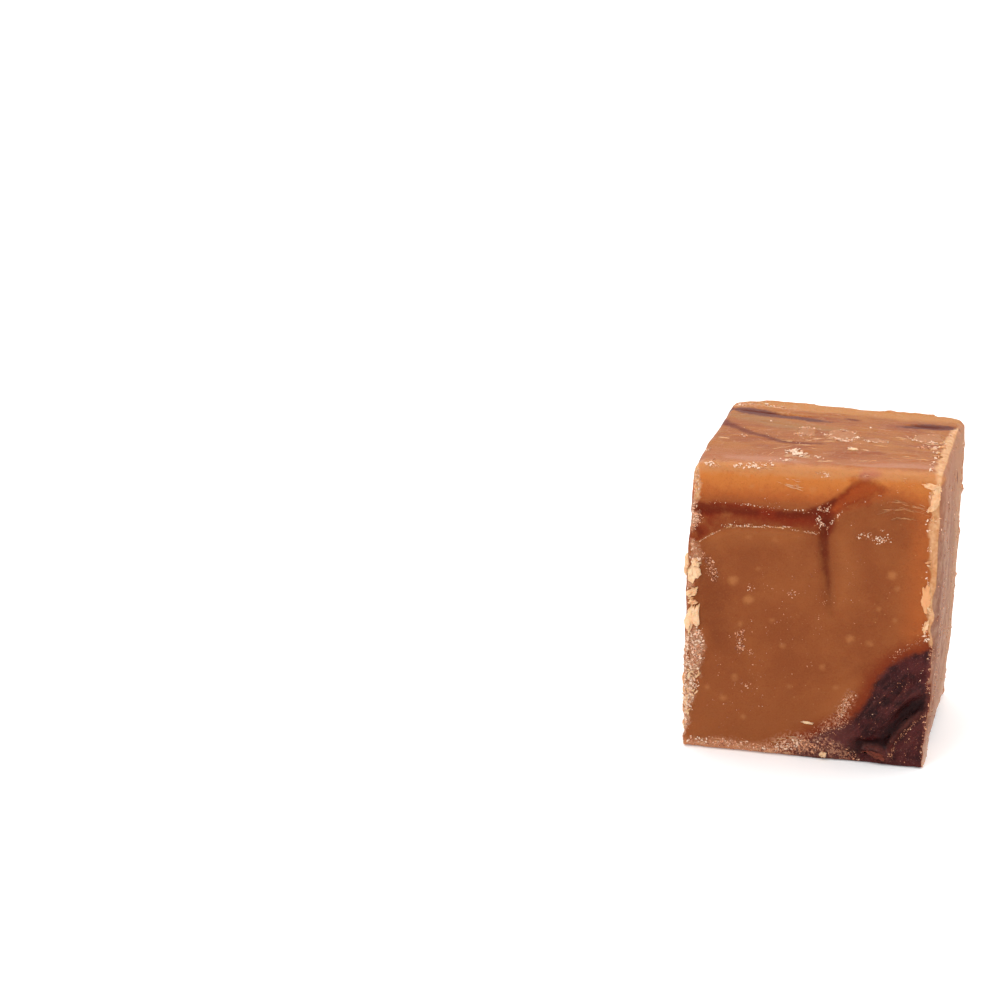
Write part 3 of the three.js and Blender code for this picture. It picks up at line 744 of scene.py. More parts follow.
FLAKES = [
    # face, across, up, long, wide, thick, turn, paleness
    ("front", -11.85, 14.6, 3.2, 1.15, 0.42, 84, 0.92),
    ("front", -11.8, 19.8, 1.9, 1.0, 0.42, 80, 0.92),
    ("front", -12.0, 17.4, 1.2, 0.8, 0.4, 60, 0.88),
    ("front", -11.9, 16.3, 0.8, 0.6, 0.35, 20, 0.88),
    ("front", 11.35, 30.0, 1.9, 0.65, 0.2, 160, 0.85),
    ("front", 11.75, 29.0, 2.2, 0.7, 0.22, 88, 0.82),
    ("front", 11.45, 27.9, 1.5, 0.45, 0.2, 50, 0.85),
    ("front", 11.5, 18.3, 2.6, 1.0, 0.18, 94, 0.72),
    ("front", 11.7, 15.4, 1.3, 0.5, 0.22, 80, 0.9),
    ("front", 7.5, 1.05, 2.2, 0.8, 0.3, -16, 0.0),
    ("front", 2.2, 0.6, 0.65, 0.55, 0.45, 10, 1.0),
    ("front", 0.45, 3.95, 1.3, 0.24, 0.1, -4, 0.95),
    ("top", 0.9, 0, 3.3, 4.0, 0.05, 0, 0.42),
    ("top", 9.4, 1.8, 3.3, 3.3, 0.05, 0, 0.42),
    ("top", 4.6, -1.1, 2.3, 1.9, 0.05, 0, 0.40),
    ("top", -2.9, 0.7, 1.7, 3.8, 0.05, 0, 0.40),
    ("top", 2.6, -5.3, 0.9, 0.6, 0.10, 0, 0.9),
    ("back", -11.2, 12, 2.4, 0.8, 0.3, 82, 0.88),
    ("back", 11.8, 24, 2.6, 0.8, 0.3, 88, 0.86),
    ("left", -11.7, 20, 2.2, 0.8, 0.3, 88, 0.9),
    ("left", 11.7, 25, 2.4, 0.9, 0.3, 86, 0.86),
]
FLAKE_RINGS = [(0.35, 1.0), (0.65, 1.0), (0.88, 0.8), (0.98, 0.3), (1.02, -0.5)]
FLAKE_SIDES = 36
FLAKE_ROOT = 0.15
OUTLINE_WAVES = [(2, 0.16), (5, 0.14)]
OUTLINE_NICKS = 0.2
CURLS = [
    # face, count, longest, paleness, line
    ("front", 26, 0.7, 0.92, [(-11.6, 13.4, 0.6), (-11.5, 9, 0.6), (-11.9, 5, 0.4), (-12.2, 2, 0.2)]),
    ("front", 14, 0.7, 0.90, [(-12.1, 22.4, 0.3), (-11.7, 20, 0.5), (-12.2, 17, 0.3)]),
    ("front", 12, 0.6, 0.70, [(-12.2, 30, 0.2), (-12.1, 27.4, 0.3)]),
    ("front", 16, 0.7, 0.80, [(11.6, 28, 0.3), (11.6, 24, 0.2), (11.7, 18, 0.3), (11.9, 14.6, 0.2)]),
    ("top", 14, 0.8, 0.75, [(11.0, -8, 0.4), (11.2, 2, 0.4)]),
    ("left", 30, 1.0, 0.70, [(-11.8, 9, 0.8), (-12, 2, 0.8)]),
    ("left", 26, 1.0, 0.70, [(12, 20, 0.5), (11.8, 9, 0.8), (12, 1, 0.8)]),
    ("back", 26, 1.0, 0.70, [(-12, 14, 0.6), (-11.8, 8, 0.9), (-12, 1, 0.8)]),
    ("back", 20, 1.0, 0.70, [(12, 22, 0.6), (12, 10, 0.6), (12, 1, 0.7)]),
]
CURL_SIDES = 14
CURL_WIDTHS = (0.2, 0.45)
CURL_THICKNESS = (0.06, 0.16)
SHORTEST = 0.4

# Fine threads that the knife drew out of the soft fudge, and that dried pale where they lie.
THREADS = [
    # face, count, longest, paleness, line
    ("front", 9, 1.1, 0.95, [(-4.3, 30.3, 0.15), (-3.4, 29.8, 0.15), (-1.5, 29.3, 0.15)]),
    ("front", 8, 1.2, 0.95, [(-3.9, 29.7, 0.12), (-2.7, 29.3, 0.12), (-1.2, 29.1, 0.12)]),
    ("front", 6, 0.8, 0.95, [(-3.3, 30.2, 0.12), (-2.2, 30, 0.12), (-1.6, 29.9, 0.12)]),
    ("front", 10, 0.6, 0.8, [(-0.3, 31, 0.25), (1, 30.7, 0.25)]),
    ("front", 8, 0.5, 0.7, [(8.4, 30.4, 0.25), (9.8, 30.1, 0.25)]),
    ("front", 8, 0.5, 0.8, [(3.6, 31, 0.2), (5.4, 30.8, 0.2)]),
    ("front", 16, 1.7, 0.68, [(7.6, 28.4, 0.14), (8.9, 28.2, 0.14), (11, 27.6, 0.14)]),
    ("front", 18, 1.7, 0.66, [(6.4, 27.2, 0.14), (8, 27.6, 0.14), (11, 27.2, 0.14)]),
    ("front", 14, 1.5, 0.62, [(7, 26.3, 0.1), (8.4, 26.6, 0.1), (11, 26.6, 0.1)]),
    ("front", 5, 0.9, 0.7, [(10, 27.9, 0.1), (11.2, 27.4, 0.1)]),
    ("front", 26, 0.7, 0.80, [
        (-11.4, 23, 0.05), (-10.4, 23.8, 0.05), (-8.6, 24.7, 0.05), (-4, 24.95, 0.05), (-1.5, 24.7, 0.05),
        (0.4, 24.5, 0.05),
    ]),
    ("front", 10, 0.5, 0.8, [(-10.8, 31.2, 0.2), (-9.6, 31.1, 0.2)]),
    ("front", 12, 0.6, 0.75, [(-6.3, 31.2, 0.2), (-4.6, 31.1, 0.2)]),
    ("front", 14, 0.5, 0.7, [(-12.2, 30.6, 0.15), (-11.9, 28.2, 0.15)]),
    ("top", 10, 1.2, 0.75, [(-3.8, -0.8, 0.2), (-3.2, 1.3, 0.2), (-2, 1.9, 0.2)]),
    ("top", 8, 1.0, 0.8, [(-3.4, -2, 0.25), (-2.1, -2.5, 0.25), (-1.5, -2, 0.25)]),
    ("top", 7, 2.2, 0.85, [(-5.6, -9.6, 0.1), (-4.9, -6, 0.1), (-3, -4.5, 0.1), (-1, -4.4, 0.1)]),
    ("top", 12, 1.4, 0.8, [(-0.9, -0.2, 0.15), (0.2, 2.2, 0.15), (1.9, 2.4, 0.15), (2.5, 0.8, 0.15)]),
    ("top", 14, 1.0, 0.95, [(-0.6, -0.1, 0.4), (1, -1.1, 0.4), (2.1, -2.1, 0.4)]),
    ("top", 12, 1.4, 0.75, [(7.9, 1.4, 0.15), (9.1, 3.7, 0.15), (10.8, 2.3, 0.15)]),
    ("top", 12, 1.0, 0.9, [(8.6, -0.1, 0.3), (9.8, 0, 0.3), (11.1, 0.7, 0.3)]),
    ("top", 12, 1.2, 0.8, [(3.5, -2, 0.3), (4.7, -0.2, 0.3), (5.8, -0.9, 0.3)]),
    ("top", 8, 1.2, 0.9, [(1.9, -5.1, 0.3), (3.1, -5.1, 0.3), (4.2, -5.7, 0.3)]),
    ("top", 10, 1.0, 0.85, [(9.5, -3.9, 0.5), (10.3, -1.8, 0.5), (10.9, -2.3, 0.5)]),
    ("top", 8, 1.2, 0.85, [(4, -9.2, 0.3), (5.1, -8.6, 0.3), (5.8, -9.3, 0.3)]),
    ("top", 8, 1.2, 0.9, [(-0.2, -10.6, 0.3), (0.7, -9.9, 0.3), (1.4, -9.9, 0.3)]),
    ("top", 12, 1.0, 0.8, [(11.2, 0, 0.2), (11.7, -3.3, 0.2), (12.1, -4.5, 0.2)]),
    ("top", 16, 0.8, 0.9, [(-11.7, 9, 0.3), (-10.2, 9.6, 0.3), (-7.9, 9.4, 0.3), (-5.7, 9.1, 0.3)]),
    ("top", 12, 0.9, 0.8, [(-11.2, -12, 0.4), (-10.6, -11.8, 0.4), (-10, -12.5, 0.4)]),
    ("top", 12, 0.9, 0.8, [(-5.7, -12.5, 0.3), (-5.1, -12.1, 0.3), (-4.4, -12.2, 0.3)]),
    ("top", 18, 1.0, 0.95, [(-4, -9, 0.4), (-2.7, -8.4, 0.4), (-1.5, -8.6, 0.4)]),
    ("top", 44, 1.6, 0.80, [(-8, -2.9, 7), (8, -3.9, 7)]),
    ("front", 24, 0.8, 0.85, [(-11.5, 0.8, 0.3), (-8.4, 1.0, 0.4), (-5, 0.6, 0.3)]),
    ("front", 30, 0.9, 0.9, [(-4.6, 0.35, 0.15), (-3.0, 0.5, 0.3), (-1.2, 0.4, 0.3)]),
    ("front", 30, 0.9, 0.85, [(-3.2, 1.5, 0.25), (-1.6, 2.0, 0.3), (0.4, 1.7, 0.3)]),
    ("front", 24, 0.7, 0.9, [(3.2, 4.6, 0.3), (4.2, 6.4, 0.4), (4.6, 7.6, 0.3)]),
]
THREAD_STEPS = 9
THREAD_SPREAD = 6
THREAD_BEND = 11
THREAD_WIDTH = 0.065
THREAD_ROOT = 0.03
THREAD_SWELLING = (0.6, 1.3)

CRUMBS_PER_CLUMP = 3
CLUMP_SPREAD = 0.20
THIN_LINE = 0.15
dice = np.random.default_rng(7)
body_tree = BVHTree.FromPolygons(
    [vertex.co[:] for vertex in body.data.vertices], [face.vertices[:] for face in body.data.polygons]
)


def on_skin(face, spots):
    """The places on the skin nearest to spots on a face of the true block, and which way they face."""
    across, up = spots[:, 0], spots[:, 1]
    half = np.full(len(spots), CUT / 2)
    places = np.stack({
        "front": (across, -half, up),
        "back": (across, half, up),
        "left": (-half, across, up),
        "right": (half, across, up),
        "top": (across, up, 0 * half + SLAB_HEIGHT),
    }[face], axis=1)
    places = places + corner_pull(places) + BASE_SHIFT
    found = [body_tree.find_nearest(place * MM) for place in places]
    return np.array([hit[0][:] for hit in found]) / MM, np.array([hit[1][:] for hit in found])


def joined_piece(name, places, faces, paleness):
    """One mesh of many small things, its places in millimetres, each with how pale it is."""
    places = np.maximum(places, (-np.inf, -np.inf, 0))
    mesh = bpy.data.meshes.new(name)
    mesh.from_pydata((places * MM).tolist(), [], faces)
    piece = bpy.data.objects.new(name, mesh)
    bpy.context.scene.collection.objects.link(piece)
    store(piece, "paleness", paleness)
    make_active(piece)
    bpy.ops.object.mode_set(mode="EDIT")
    bpy.ops.mesh.select_all(action="SELECT")
    bpy.ops.mesh.normals_make_consistent(inside=False)
    bpy.ops.object.mode_set(mode="OBJECT")
    return piece


def strewn_along(path, count):
    """Places strewn in clumps over a line of varying width, thickest along its middle."""
    path = np.array(path, float)
    runs = np.linalg.norm(np.diff(path[:, :2], axis=0), axis=1)
    areas = runs * (path[:-1, 2] + path[1:, 2])
    widest = path[:, 2].max()
    clumps = count if widest < THIN_LINE else max(1, count // CRUMBS_PER_CLUMP)
    chosen = dice.choice(len(runs), clumps, p=areas / areas.sum())
    share = dice.uniform(0, 1, clumps)[:, None]
    middle = path[chosen] * (1 - share) + path[chosen + 1] * share
    angles, reach = dice.uniform(0, 2 * np.pi, clumps), dice.uniform(0, 1, clumps) ** 0.7
    centres = middle[:, :2] + np.stack([np.cos(angles), np.sin(angles)], 1) * (reach * middle[:, 2])[:, None]
    return np.resize(centres, (count, 2)) + dice.normal(0, CLUMP_SPREAD * min(1, widest / 0.4), (count, 2))


def varied(paleness, spread):
    return float(np.clip(paleness + dice.normal(0, spread), 0, 1))


leaf_places, leaf_faces, leaf_paleness = [], [], []


def lay_flake(face, across, up, length, width, thick, turn, paleness, sides):
    """A thin leaf with a ragged outline, laid on the skin with its edge tucked into it."""
    angles = np.linspace(0, 2 * np.pi, sides, endpoint=False)
    waves = sum(size * np.sin(count * angles + dice.uniform(0, 6)) for count, size in OUTLINE_WAVES)
    outline = 1 + waves + dice.uniform(-OUTLINE_NICKS, OUTLINE_NICKS, sides)
    oval = np.stack([length * np.cos(angles), width * np.sin(angles)], 1)
    spots, heights = [np.zeros((1, 2))], [np.full(1, thick)]
    for reach, height in FLAKE_RINGS:
        spots.append(oval * (outline * reach / 2)[:, None])
        heights.append(thick * height * dice.uniform(0.8, 1.2, sides))
    spots, heights = np.concatenate(spots), np.concatenate(heights)
    cosine, sine = math.cos(math.radians(turn)), math.sin(math.radians(turn))
    spots = spots @ np.array([[cosine, sine], [-sine, cosine]])
    points, facings = on_skin(face, spots + (across, up))
    first = sum(len(part) for part in leaf_places)
    root = points[:1] - facings[:1] * FLAKE_ROOT
    leaf_places.append(np.vstack([points + facings * heights[:, None], root]))
    leaf_paleness.append(np.full(len(points) + 1, paleness))
    for side in range(sides):
        after = (side + 1) % sides
        leaf_faces.append((first, first + 1 + side, first + 1 + after))
        for ring in range(len(FLAKE_RINGS) - 1):
            inner, outer = first + 1 + ring * sides, first + 1 + (ring + 1) * sides
            leaf_faces.append((inner + side, outer + side, outer + after, inner + after))
        last = first + 1 + (len(FLAKE_RINGS) - 1) * sides
        leaf_faces.append((last + side, first + len(points), last + after))


def direction_of(path, across, up):
    """The way that the nearest stretch of a path runs, in degrees."""
    path = np.array(path, float)[:, :2]
    middles = (path[:-1] + path[1:]) / 2
    start = int(np.argmin(np.linalg.norm(middles - (across, up), axis=1)))
    run = path[start + 1] - path[start]
    return math.degrees(math.atan2(run[1], run[0]))


def lay_thread(face, across, up, length, turn, paleness):
    """A fine curved thread, three-sided, thickest at its middle and laid half into the skin."""
    share = np.linspace(-1, 1, THREAD_STEPS)
    angles = np.radians(turn + dice.uniform(-THREAD_BEND, THREAD_BEND) * share)
    steps = np.stack([np.cos(angles), np.sin(angles)], 1) * length / THREAD_STEPS
    middle = np.cumsum(steps, axis=0) - steps.sum(axis=0) / 2 + (across, up)
    sideways = np.stack([-np.sin(angles), np.cos(angles)], 1) * THREAD_WIDTH / 2
    swelling = dice.uniform(*THREAD_SWELLING) * np.sqrt(1.02 - share * share)[:, None]
    spots = np.concatenate([middle - sideways * swelling, middle, middle + sideways * swelling])
    points, facings = on_skin(face, spots)
    root = np.full(THREAD_STEPS, -THREAD_ROOT)
    heights = np.concatenate([root, THREAD_WIDTH * 0.5 * swelling[:, 0], root])
    first = sum(len(part) for part in leaf_places)
    leaf_places.append(points + facings * heights[:, None])
    leaf_paleness.append(np.full(len(points), paleness))
    rows = [first, first + THREAD_STEPS, first + 2 * THREAD_STEPS]
    for step in range(THREAD_STEPS - 1):
        for one, other in ((0, 1), (1, 2), (2, 0)):
            here, there = rows[one] + step, rows[other] + step
            leaf_faces.append((here, there, there + 1, here + 1))
    for end in (0, THREAD_STEPS - 1):
        leaf_faces.append((rows[0] + end, rows[1] + end, rows[2] + end))


for flake_values in FLAKES:
    lay_flake(*flake_values, FLAKE_SIDES)
for face, count, longest, paleness, path in CURLS:
    for across, up in strewn_along(path, count):
        length = longest * dice.uniform(SHORTEST, 1)
        width, thick = length * dice.uniform(*CURL_WIDTHS), dice.uniform(*CURL_THICKNESS)
        tone = varied(paleness, 0.15)
        lay_flake(face, across, up, length, width, thick, dice.uniform(0, 180), tone, CURL_SIDES)
for face, count, longest, paleness, path in THREADS:
    for across, up in strewn_along(path, count):
        length, tone = longest * dice.uniform(SHORTEST, 1), varied(paleness, 0.1)
        turn = direction_of(path, across, up) + dice.normal(0, THREAD_SPREAD)
        lay_thread(face, across, up, length, turn, tone)
flakes = joined_piece("fudge_flakes", np.vstack(leaf_places), leaf_faces, np.concatenate(leaf_paleness))
bpy.ops.object.shade_smooth_by_angle(angle=math.radians(50))

flake, tree, shader = new_material("dried_flake")
place = millimetres(tree)
pale = stored(tree, "paleness") + mottle(place, 0.5) * 0.35
colour = paint((0.17, 0.040, 0.024), (0.38, 0.150, 0.062), mask(pale, 0.05, 0.35))
colour = paint(colour, (0.77, 0.365, 0.165), mask(pale, 0.4, 0.7))
colour = paint(colour, (0.90, 0.60, 0.36), mask(pale, 0.7, 1.0))
fill_inputs(shader, {
    "Base Color": colour,
    "Normal": relief_of(mottle(place, 0.3) * 0.10),
    "Roughness": 0.5,
    "Specular IOR Level": 0.1,
    "Subsurface Weight": 0.2,
    "Subsurface Radius": (1.0, 0.4, 0.2),
    "Subsurface Scale": 0.6 * MM,
})
flakes.data.materials.append(flake)

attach(flakes, "root")

# The crumbs: dry grains of fudge and sugar that broke from the edges and cling to the skin, thick in
# the dry patches and strewn thin elsewhere.

STREWN = [
    # face, count, size, paleness, line
    ("front", 90, 0.15, 0.8, [(-9.4, 24.75, 0.07), (-6.5, 24.95, 0.05), (-4.4, 24.95, 0.07)]),
    ("front", 22, 0.16, 0.8, [(-4.4, 24.95, 0.07), (-2.4, 24.95, 0.06)]),
    ("front", 60, 0.11, 0.7, [(-11.6, 22.9, 0.05), (-9.4, 24.3, 0.05)]),
    ("front", 40, 0.11, 0.7, [(-2.4, 24.9, 0.07), (0.4, 24.5, 0.08)]),
    ("front", 80, 0.15, 0.85, [(0.1, 26.2, 0.3), (0.7, 25.4, 0.3), (1.1, 24.7, 0.25)]),
    ("front", 50, 0.14, 0.75, [(0.3, 27, 0.35), (1.5, 27.1, 0.35)]),
    ("front", 40, 0.13, 0.8, [(1.2, 25.2, 0.15), (2.8, 27.2, 0.15)]),
    ("front", 60, 0.16, 0.9, [(6.0, 24.4, 0.2), (6.8, 24.2, 0.35), (7.4, 24.4, 0.15)]),
    ("front", 30, 0.16, 0.9, [(4.4, 24.2, 0.3), (5.4, 24.7, 0.3)]),
    ("front", 5, 0.16, 1.0, [(6.7, 25.2, 0.1), (6.9, 25.2, 0.1)]),
    ("front", 30, 0.14, 0.9, [(-0.2, 30.9, 0.3), (1.2, 30.7, 0.2)]),
    ("front", 150, 0.16, 0.45, [(-6.9, 13.2, 0.4), (-6.8, 11.2, 0.35)]),
    ("front", 20, 0.14, 0.45, [(-5.9, 11.4, 0.3), (-5.6, 10.9, 0.2)]),
    ("front", 130, 0.16, 0.45, [(-10.4, 21.2, 0.45), (-9.9, 18.9, 0.4)]),
    ("front", 20, 0.15, 0.6, [(-6.3, 18.3, 0.3), (-5.7, 18.1, 0.2)]),
    ("front", 20, 0.15, 0.6, [(-2.3, 18.1, 0.3), (-1.7, 18.0, 0.2)]),
    ("front", 16, 0.14, 0.6, [(-6.3, 7.5, 0.3), (-5.7, 7.3, 0.2)]),
    ("front", 420, 0.10, 0.42, [(-8, 4, 2.5), (-4, 14, 6), (5, 20, 4.5)]),
    ("front", 60, 0.09, 0.75, [(-10, 26, 1.2), (0, 28, 2.4), (9, 28, 2.0)]),
    ("front", 130, 0.15, 0.6, [(3.7, 5.0, 0.3), (4.3, 6.4, 0.4), (4.8, 7.6, 0.3)]),
    ("front", 150, 0.14, 0.42, [(0.4, 2.6, 0.5), (2.4, 3.8, 0.6), (4.2, 5.4, 0.4)]),
    ("front", 540, 0.16, 0.52, [(-4.4, 0.3, 0.3), (-2.6, 0.7, 0.7), (-0.8, 1.2, 1.0), (1.0, 1.5, 0.9)]),
    ("front", 90, 0.18, 0.8, [(-3.8, 0.3, 0.3), (-2.4, 0.8, 0.6), (-0.6, 1.6, 0.8)]),
    ("front", 240, 0.15, 0.55, [
        (-11.6, 0.4, 0.2), (-9.2, 0.5, 0.4), (-7.4, 0.7, 0.5), (-5.6, 0.5, 0.4), (-3.8, 0.5, 0.4),
    ]),
    ("front", 330, 0.155, 0.42, [(0.2, 1.2, 0.7), (2.0, 1.6, 0.9), (3.6, 1.2, 0.7), (5.6, 0.6, 0.4)]),
    ("front", 90, 0.12, 0.4, [(8.4, 11.8, 0.3), (10.3, 13.1, 0.35), (11.7, 14.1, 0.3)]),
    ("front", 50, 0.24, 0.95, [(11.5, 15.8, 0.15), (11.7, 15.1, 0.2), (11.9, 14.0, 0.2)]),
    ("front", 150, 0.15, 0.45, [(12.3, 13.5, 0.12), (12.3, 1.0, 0.15)]),
    ("front", 110, 0.11, 0.36, [(11, 11, 1.0), (8, 6, 2.0), (6, 3, 1.3)]),
    ("front", 240, 0.11, 0.38, [(12.2, 6.2, 0.25), (10.6, 4.6, 0.3), (9.2, 2.4, 0.3), (8.9, 0.8, 0.3)]),
    ("front", 60, 0.11, 0.36, [(11, 3.2, 1.4), (10.5, 1, 1.0)]),
    ("top", 120, 0.34, 1.0, [(-3.5, -6.8, 0.5), (-2.7, -7.8, 1.0), (-1.9, -8.0, 0.4)]),
    ("top", 22, 0.22, 1.0, [(-0.9, -8.4, 0.2), (0.4, -9.3, 0.2)]),
    ("top", 10, 0.2, 1.0, [(-7.4, 4.1, 0.2), (-7.1, 4.1, 0.2)]),
    ("top", 10, 0.18, 1.0, [(-9.3, -2.3, 0.2), (-9, -2.3, 0.2)]),
    ("top", 20, 0.26, 0.95, [(2, -4.9, 0.2), (3, -5.4, 0.2)]),
    ("top", 10, 0.16, 1.0, [(3.3, 3.9, 0.2), (3.5, 4.6, 0.2)]),
    ("top", 70, 0.24, 0.8, [
        (10.9, -11, 0.3), (10.8, -7, 0.3), (11.1, -3, 0.3), (11.2, 1, 0.3), (11.5, 5, 0.2),
    ]),
    ("front", 40, 0.20, 0.95, [
        (11.2, 29.8, 0.15), (11.0, 27.6, 0.2), (11.4, 25.0, 0.15), (11.5, 20, 0.15), (11.2, 18, 0.2),
    ]),
    ("front", 150, 0.18, 0.60, [(-12.3, 26.8, 0.3), (-11.8, 25.4, 0.4), (-12.2, 24.2, 0.2)]),
    ("front", 40, 0.16, 0.45, [(-11.2, 21.8, 0.3), (-10.2, 19.8, 0.5)]),
    ("top", 70, 0.26, 0.9, [(-8, -12.2, 0.3), (-6.1, -11.9, 0.4), (-4.6, -11, 0.4)]),
    ("top", 26, 0.28, 0.95, [(-3.8, -10.4, 0.3), (-3, -10.1, 0.4)]),
    ("top", 34, 0.26, 0.9, [(-11.2, -12, 0.4), (-10.2, -11.7, 0.5)]),
    ("top", 22, 0.26, 0.9, [(-12.1, -7.6, 0.3), (-11.7, -6.8, 0.4)]),
    ("top", 110, 0.26, 0.85, [
        (-1.2, 0.4, 0.2), (-0.4, -0.7, 0.4), (0.5, -1.5, 0.3), (1.4, -2.1, 0.45), (2, -1.5, 0.3),
        (2.6, -0.2, 0.2),
    ]),
    ("top", 30, 0.20, 0.7, [(-0.6, 1.1, 0.1), (0.8, 1.8, 0.1), (2.2, 1.2, 0.1)]),
    ("top", 80, 0.24, 0.85, [(7.6, 1.7, 0.2), (8.4, 0.8, 0.3), (9.6, 0.6, 0.3), (10.8, 0.8, 0.5)]),
    ("top", 26, 0.20, 0.7, [(8, 2.5, 0.1), (9.4, 3.5, 0.1), (10.8, 3, 0.1)]),
    ("top", 60, 0.22, 0.75, [(3.4, -1.2, 0.2), (4.4, -1.8, 0.3), (5.7, -1, 0.2)]),
    ("top", 70, 0.24, 0.75, [(-3.9, 2.1, 0.3), (-2.9, 2.6, 0.3), (-2, 2, 0.3)]),
    ("top", 60, 0.22, 0.65, [(-3.9, -0.1, 0.5), (-2.4, -0.8, 0.5)]),
    ("top", 30, 0.30, 1.0, [(1, -2.1, 0.3), (1.9, -2.3, 0.3)]),
    ("top", 60, 0.24, 0.5, [(8.6, -2.7, 0.4), (10, -1.7, 0.4), (11.2, -1.3, 0.3)]),
    ("top", 130, 0.10, 0.85, [(-9, -0.7, 4), (9, -0.7, 4)]),
    ("front", 70, 0.13, 0.85, [(-11, 27.3, 0.12), (-5, 27.0, 0.12), (-1, 26.7, 0.12)]),
    ("front", 60, 0.34, 0.9, [(-3.6, 0.5, 0.3), (-2.0, 1.2, 0.6), (0, 1.6, 0.6)]),
    ("front", 200, 0.22, 0.85, [(-12.4, 13.4, 0.15), (-12.45, 8, 0.2), (-12.45, 2.4, 0.15)]),
    ("right", 440, 0.17, 0.6, [(-9, 2, 4), (-9, 29, 4)]),
    ("right", 340, 0.17, 0.6, [(2, 2, 9), (2, 29, 9)]),
    ("right", 200, 0.20, 0.8, [(9.8, 29.6, 0.5), (9.4, 22, 1.1), (10, 14, 0.6), (9.6, 7, 0.9)]),
    ("left", 240, 0.12, 0.55, [(0, 4, 9), (0, 27, 9)]),
    ("left", 170, 0.15, 0.6, [(-6.8, 20, 0.2), (-5.8, 18.4, 0.5), (-5.2, 16.8, 0.3)]),
    ("left", 130, 0.16, 0.75, [(7.4, 5, 0.3), (5.2, 3.8, 0.5), (3.2, 4.2, 0.2)]),
    ("back", 240, 0.12, 0.55, [(0, 4, 9), (0, 27, 9)]),
    ("back", 160, 0.15, 0.6, [(-6.2, 25.6, 0.3), (-4.6, 23.6, 0.7), (-3, 22.2, 0.3)]),
    ("back", 90, 0.15, 0.7, [(2, 15, 0.2), (3, 13.8, 0.4), (4.2, 12.8, 0.2)]),
    ("back", 180, 0.16, 0.7, [(-9, 4.4, 0.5), (-5.6, 3.4, 0.4), (-2, 3.8, 0.5)]),
    ("front", 160, 0.13, 0.5, [(1.6, 3.2, 0.4), (3.4, 3.6, 0.5), (4.6, 4.6, 0.4)]),
    ("front", 90, 0.20, 0.85, [(-11.8, 0.9, 0.3), (-8.4, 1.0, 0.4), (-5, 0.7, 0.3)]),
]
DRY_PALENESS = 0.88

# A grain is a flat oval, its size spread from mostly fine to a few coarse, and it lies a little askew.
GRAIN_SHAPE = (1.7, 0.9, 0.45)
GRAIN_UNEVENNESS = (0.6, 1.25)
FINEST_SHARE = 0.28
SIZE_SPREAD = 0.9
PALENESS_SPREAD = 0.2
TILT = 0.3
STANDS_OUT = 0.18


def area_of(path):
    path = np.array(path, float)
    return float(np.sum(np.linalg.norm(np.diff(path[:, :2], axis=0), axis=1) * (path[:-1, 2] + path[1:, 2])))


def unit(vectors):
    return vectors / np.linalg.norm(vectors, axis=1)[:, None]


bpy.ops.mesh.primitive_ico_sphere_add(subdivisions=1, radius=0.5, location=(0, 0, 0))
grain = bpy.context.active_object
grain_places = np.array([vertex.co[:] for vertex in grain.data.vertices])
grain_faces = np.array([face.vertices[:] for face in grain.data.polygons])
corners = len(grain_places)
bpy.data.objects.remove(grain)

strewn = list(STREWN)
for face, per_area, size, path in DRY_PATCHES:
    strewn.append((face, int(per_area * area_of(path)), size, DRY_PALENESS, path))
middles, facings, sizes, tones = [], [], [], []
for face, count, size, paleness, path in strewn:
    points, ways = on_skin(face, strewn_along(path, count))
    middles.append(points)
    facings.append(ways)
    sizes.append(size * (FINEST_SHARE + SIZE_SPREAD * dice.uniform(0, 1, count) ** 3))
    tones.append(np.clip(paleness + dice.normal(0, PALENESS_SPREAD, count), 0, 1))
middles, facings = np.vstack(middles), np.vstack(facings)
sizes, tones = np.concatenate(sizes), np.concatenate(tones)
lying = unit(facings + dice.normal(0, TILT, facings.shape))
across = unit(np.cross(lying, dice.normal(0, 1, facings.shape)))
up = np.cross(lying, across)
shapes = grain_places * dice.uniform(*GRAIN_UNEVENNESS, (len(middles), corners, 1)) * sizes[:, None, None]
shapes = shapes * GRAIN_SHAPE
places = (
    middles[:, None]
    + shapes[:, :, :1] * across[:, None]
    + shapes[:, :, 1:2] * up[:, None]
    + shapes[:, :, 2:] * lying[:, None]
    + STANDS_OUT * sizes[:, None, None] * facings[:, None]
)
faces = (grain_faces + corners * np.arange(len(middles))[:, None, None]).reshape(-1, 3).tolist()
crumbs = joined_piece("fudge_crumbs", places.reshape(-1, 3), faces, np.repeat(tones, corners))

dried, tree, shader = new_material("dried_crumb")
pale = stored(tree, "paleness")
colour = paint((0.24, 0.076, 0.046), (0.71, 0.315, 0.170), mask(pale, 0.2, 0.6))
colour = paint(colour, (0.85, 0.62, 0.46), mask(pale, 0.6, 1.0))
fill_inputs(shader, {"Base Color": colour, "Roughness": 0.55, "Specular IOR Level": 0.1})
crumbs.data.materials.append(dried)

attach(crumbs, "root")

# The stage: a plain white floor under one wide soft light, overhead and a little behind, with a small
# weak one in front, to the left, and the camera. Places are in metres, the camera's in millimetres.

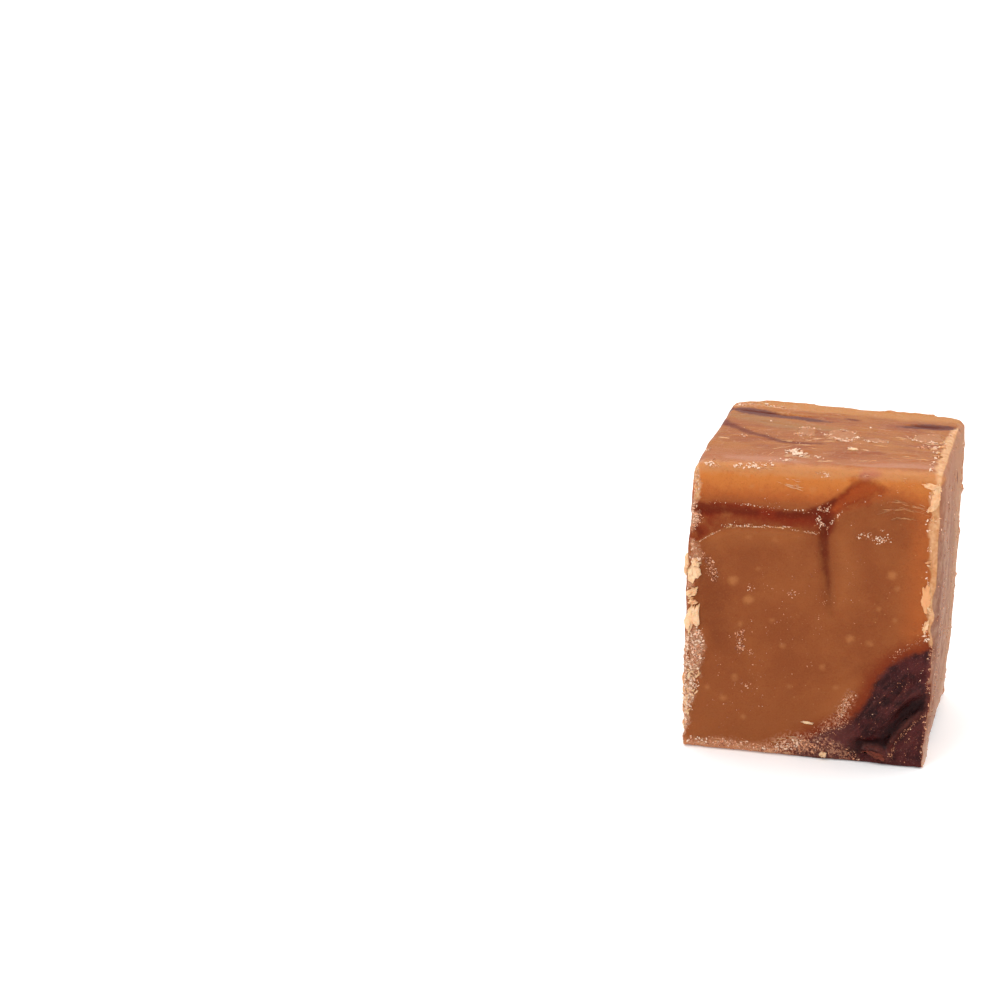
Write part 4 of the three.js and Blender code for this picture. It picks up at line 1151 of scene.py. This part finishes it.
FLOOR_SIZE = 12
FLOOR_GLOW = 0.16
SOFTBOX_SIZE = (5, 4)
SOFTBOX_PLACE = (0, 1.6, 1.5)
KEY_SIZE = 0.22
KEY_PLACE = (-0.15, -0.40, 0.45)
KEY_WAY = (-0.15, -0.40, 0.435)
CAMERA_PLACE = (31.06, -255.21, 94.29)
CAMERA_DOWN = 15.42
CAMERA_ROUND = 14.75
CAMERA_ROLL = 0.81


def place_on_stage(name, data, location):
    stage_object = bpy.data.objects.new(name, data)
    stage_object.location = location
    bpy.context.scene.collection.objects.link(stage_object)
    return stage_object


bpy.ops.object.select_all(action="DESELECT")
bpy.ops.mesh.primitive_plane_add(size=FLOOR_SIZE, location=(0, 0, 0))
floor = bpy.context.active_object
floor.name = "floor"
white, tree, shader = new_material("floor_white")
fill_inputs(shader, {
    "Base Color": (0.95, 0.95, 0.95, 1),
    "Roughness": 0.6,
    "Emission Color": (1, 1, 1, 1),
    "Emission Strength": FLOOR_GLOW,
})
floor.data.materials.append(white)

world = bpy.data.worlds.new("studio")
world.use_nodes = True
bpy.context.scene.world = world
fill_inputs(world.node_tree.nodes["Background"], {"Color": (1, 1, 1, 1), "Strength": 0.6})

softbox = bpy.data.lights.new("softbox", "AREA")
softbox.shape = "RECTANGLE"
softbox.size, softbox.size_y = SOFTBOX_SIZE
softbox.energy = 82
place_on_stage("softbox", softbox, SOFTBOX_PLACE)

key = bpy.data.lights.new("key", "AREA")
key.shape = "DISK"
key.size = KEY_SIZE
key.energy = 1.1
key_object = place_on_stage("key", key, KEY_PLACE)
key_object.rotation_euler = Vector(KEY_WAY).to_track_quat("Z", "Y").to_euler()

camera = bpy.data.cameras.new("camera")
camera.lens = 90
camera.sensor_width = 36
camera_object = place_on_stage("camera", camera, [value * MM for value in CAMERA_PLACE])
turn = Euler((math.radians(90 - CAMERA_DOWN), 0, math.radians(CAMERA_ROUND))).to_matrix()
roll = Matrix.Rotation(math.radians(CAMERA_ROLL), 3, "Z")
camera_object.rotation_euler = (turn @ roll).to_euler()
bpy.context.scene.camera = camera_object
bpy.context.scene.view_settings.view_transform = "Standard"
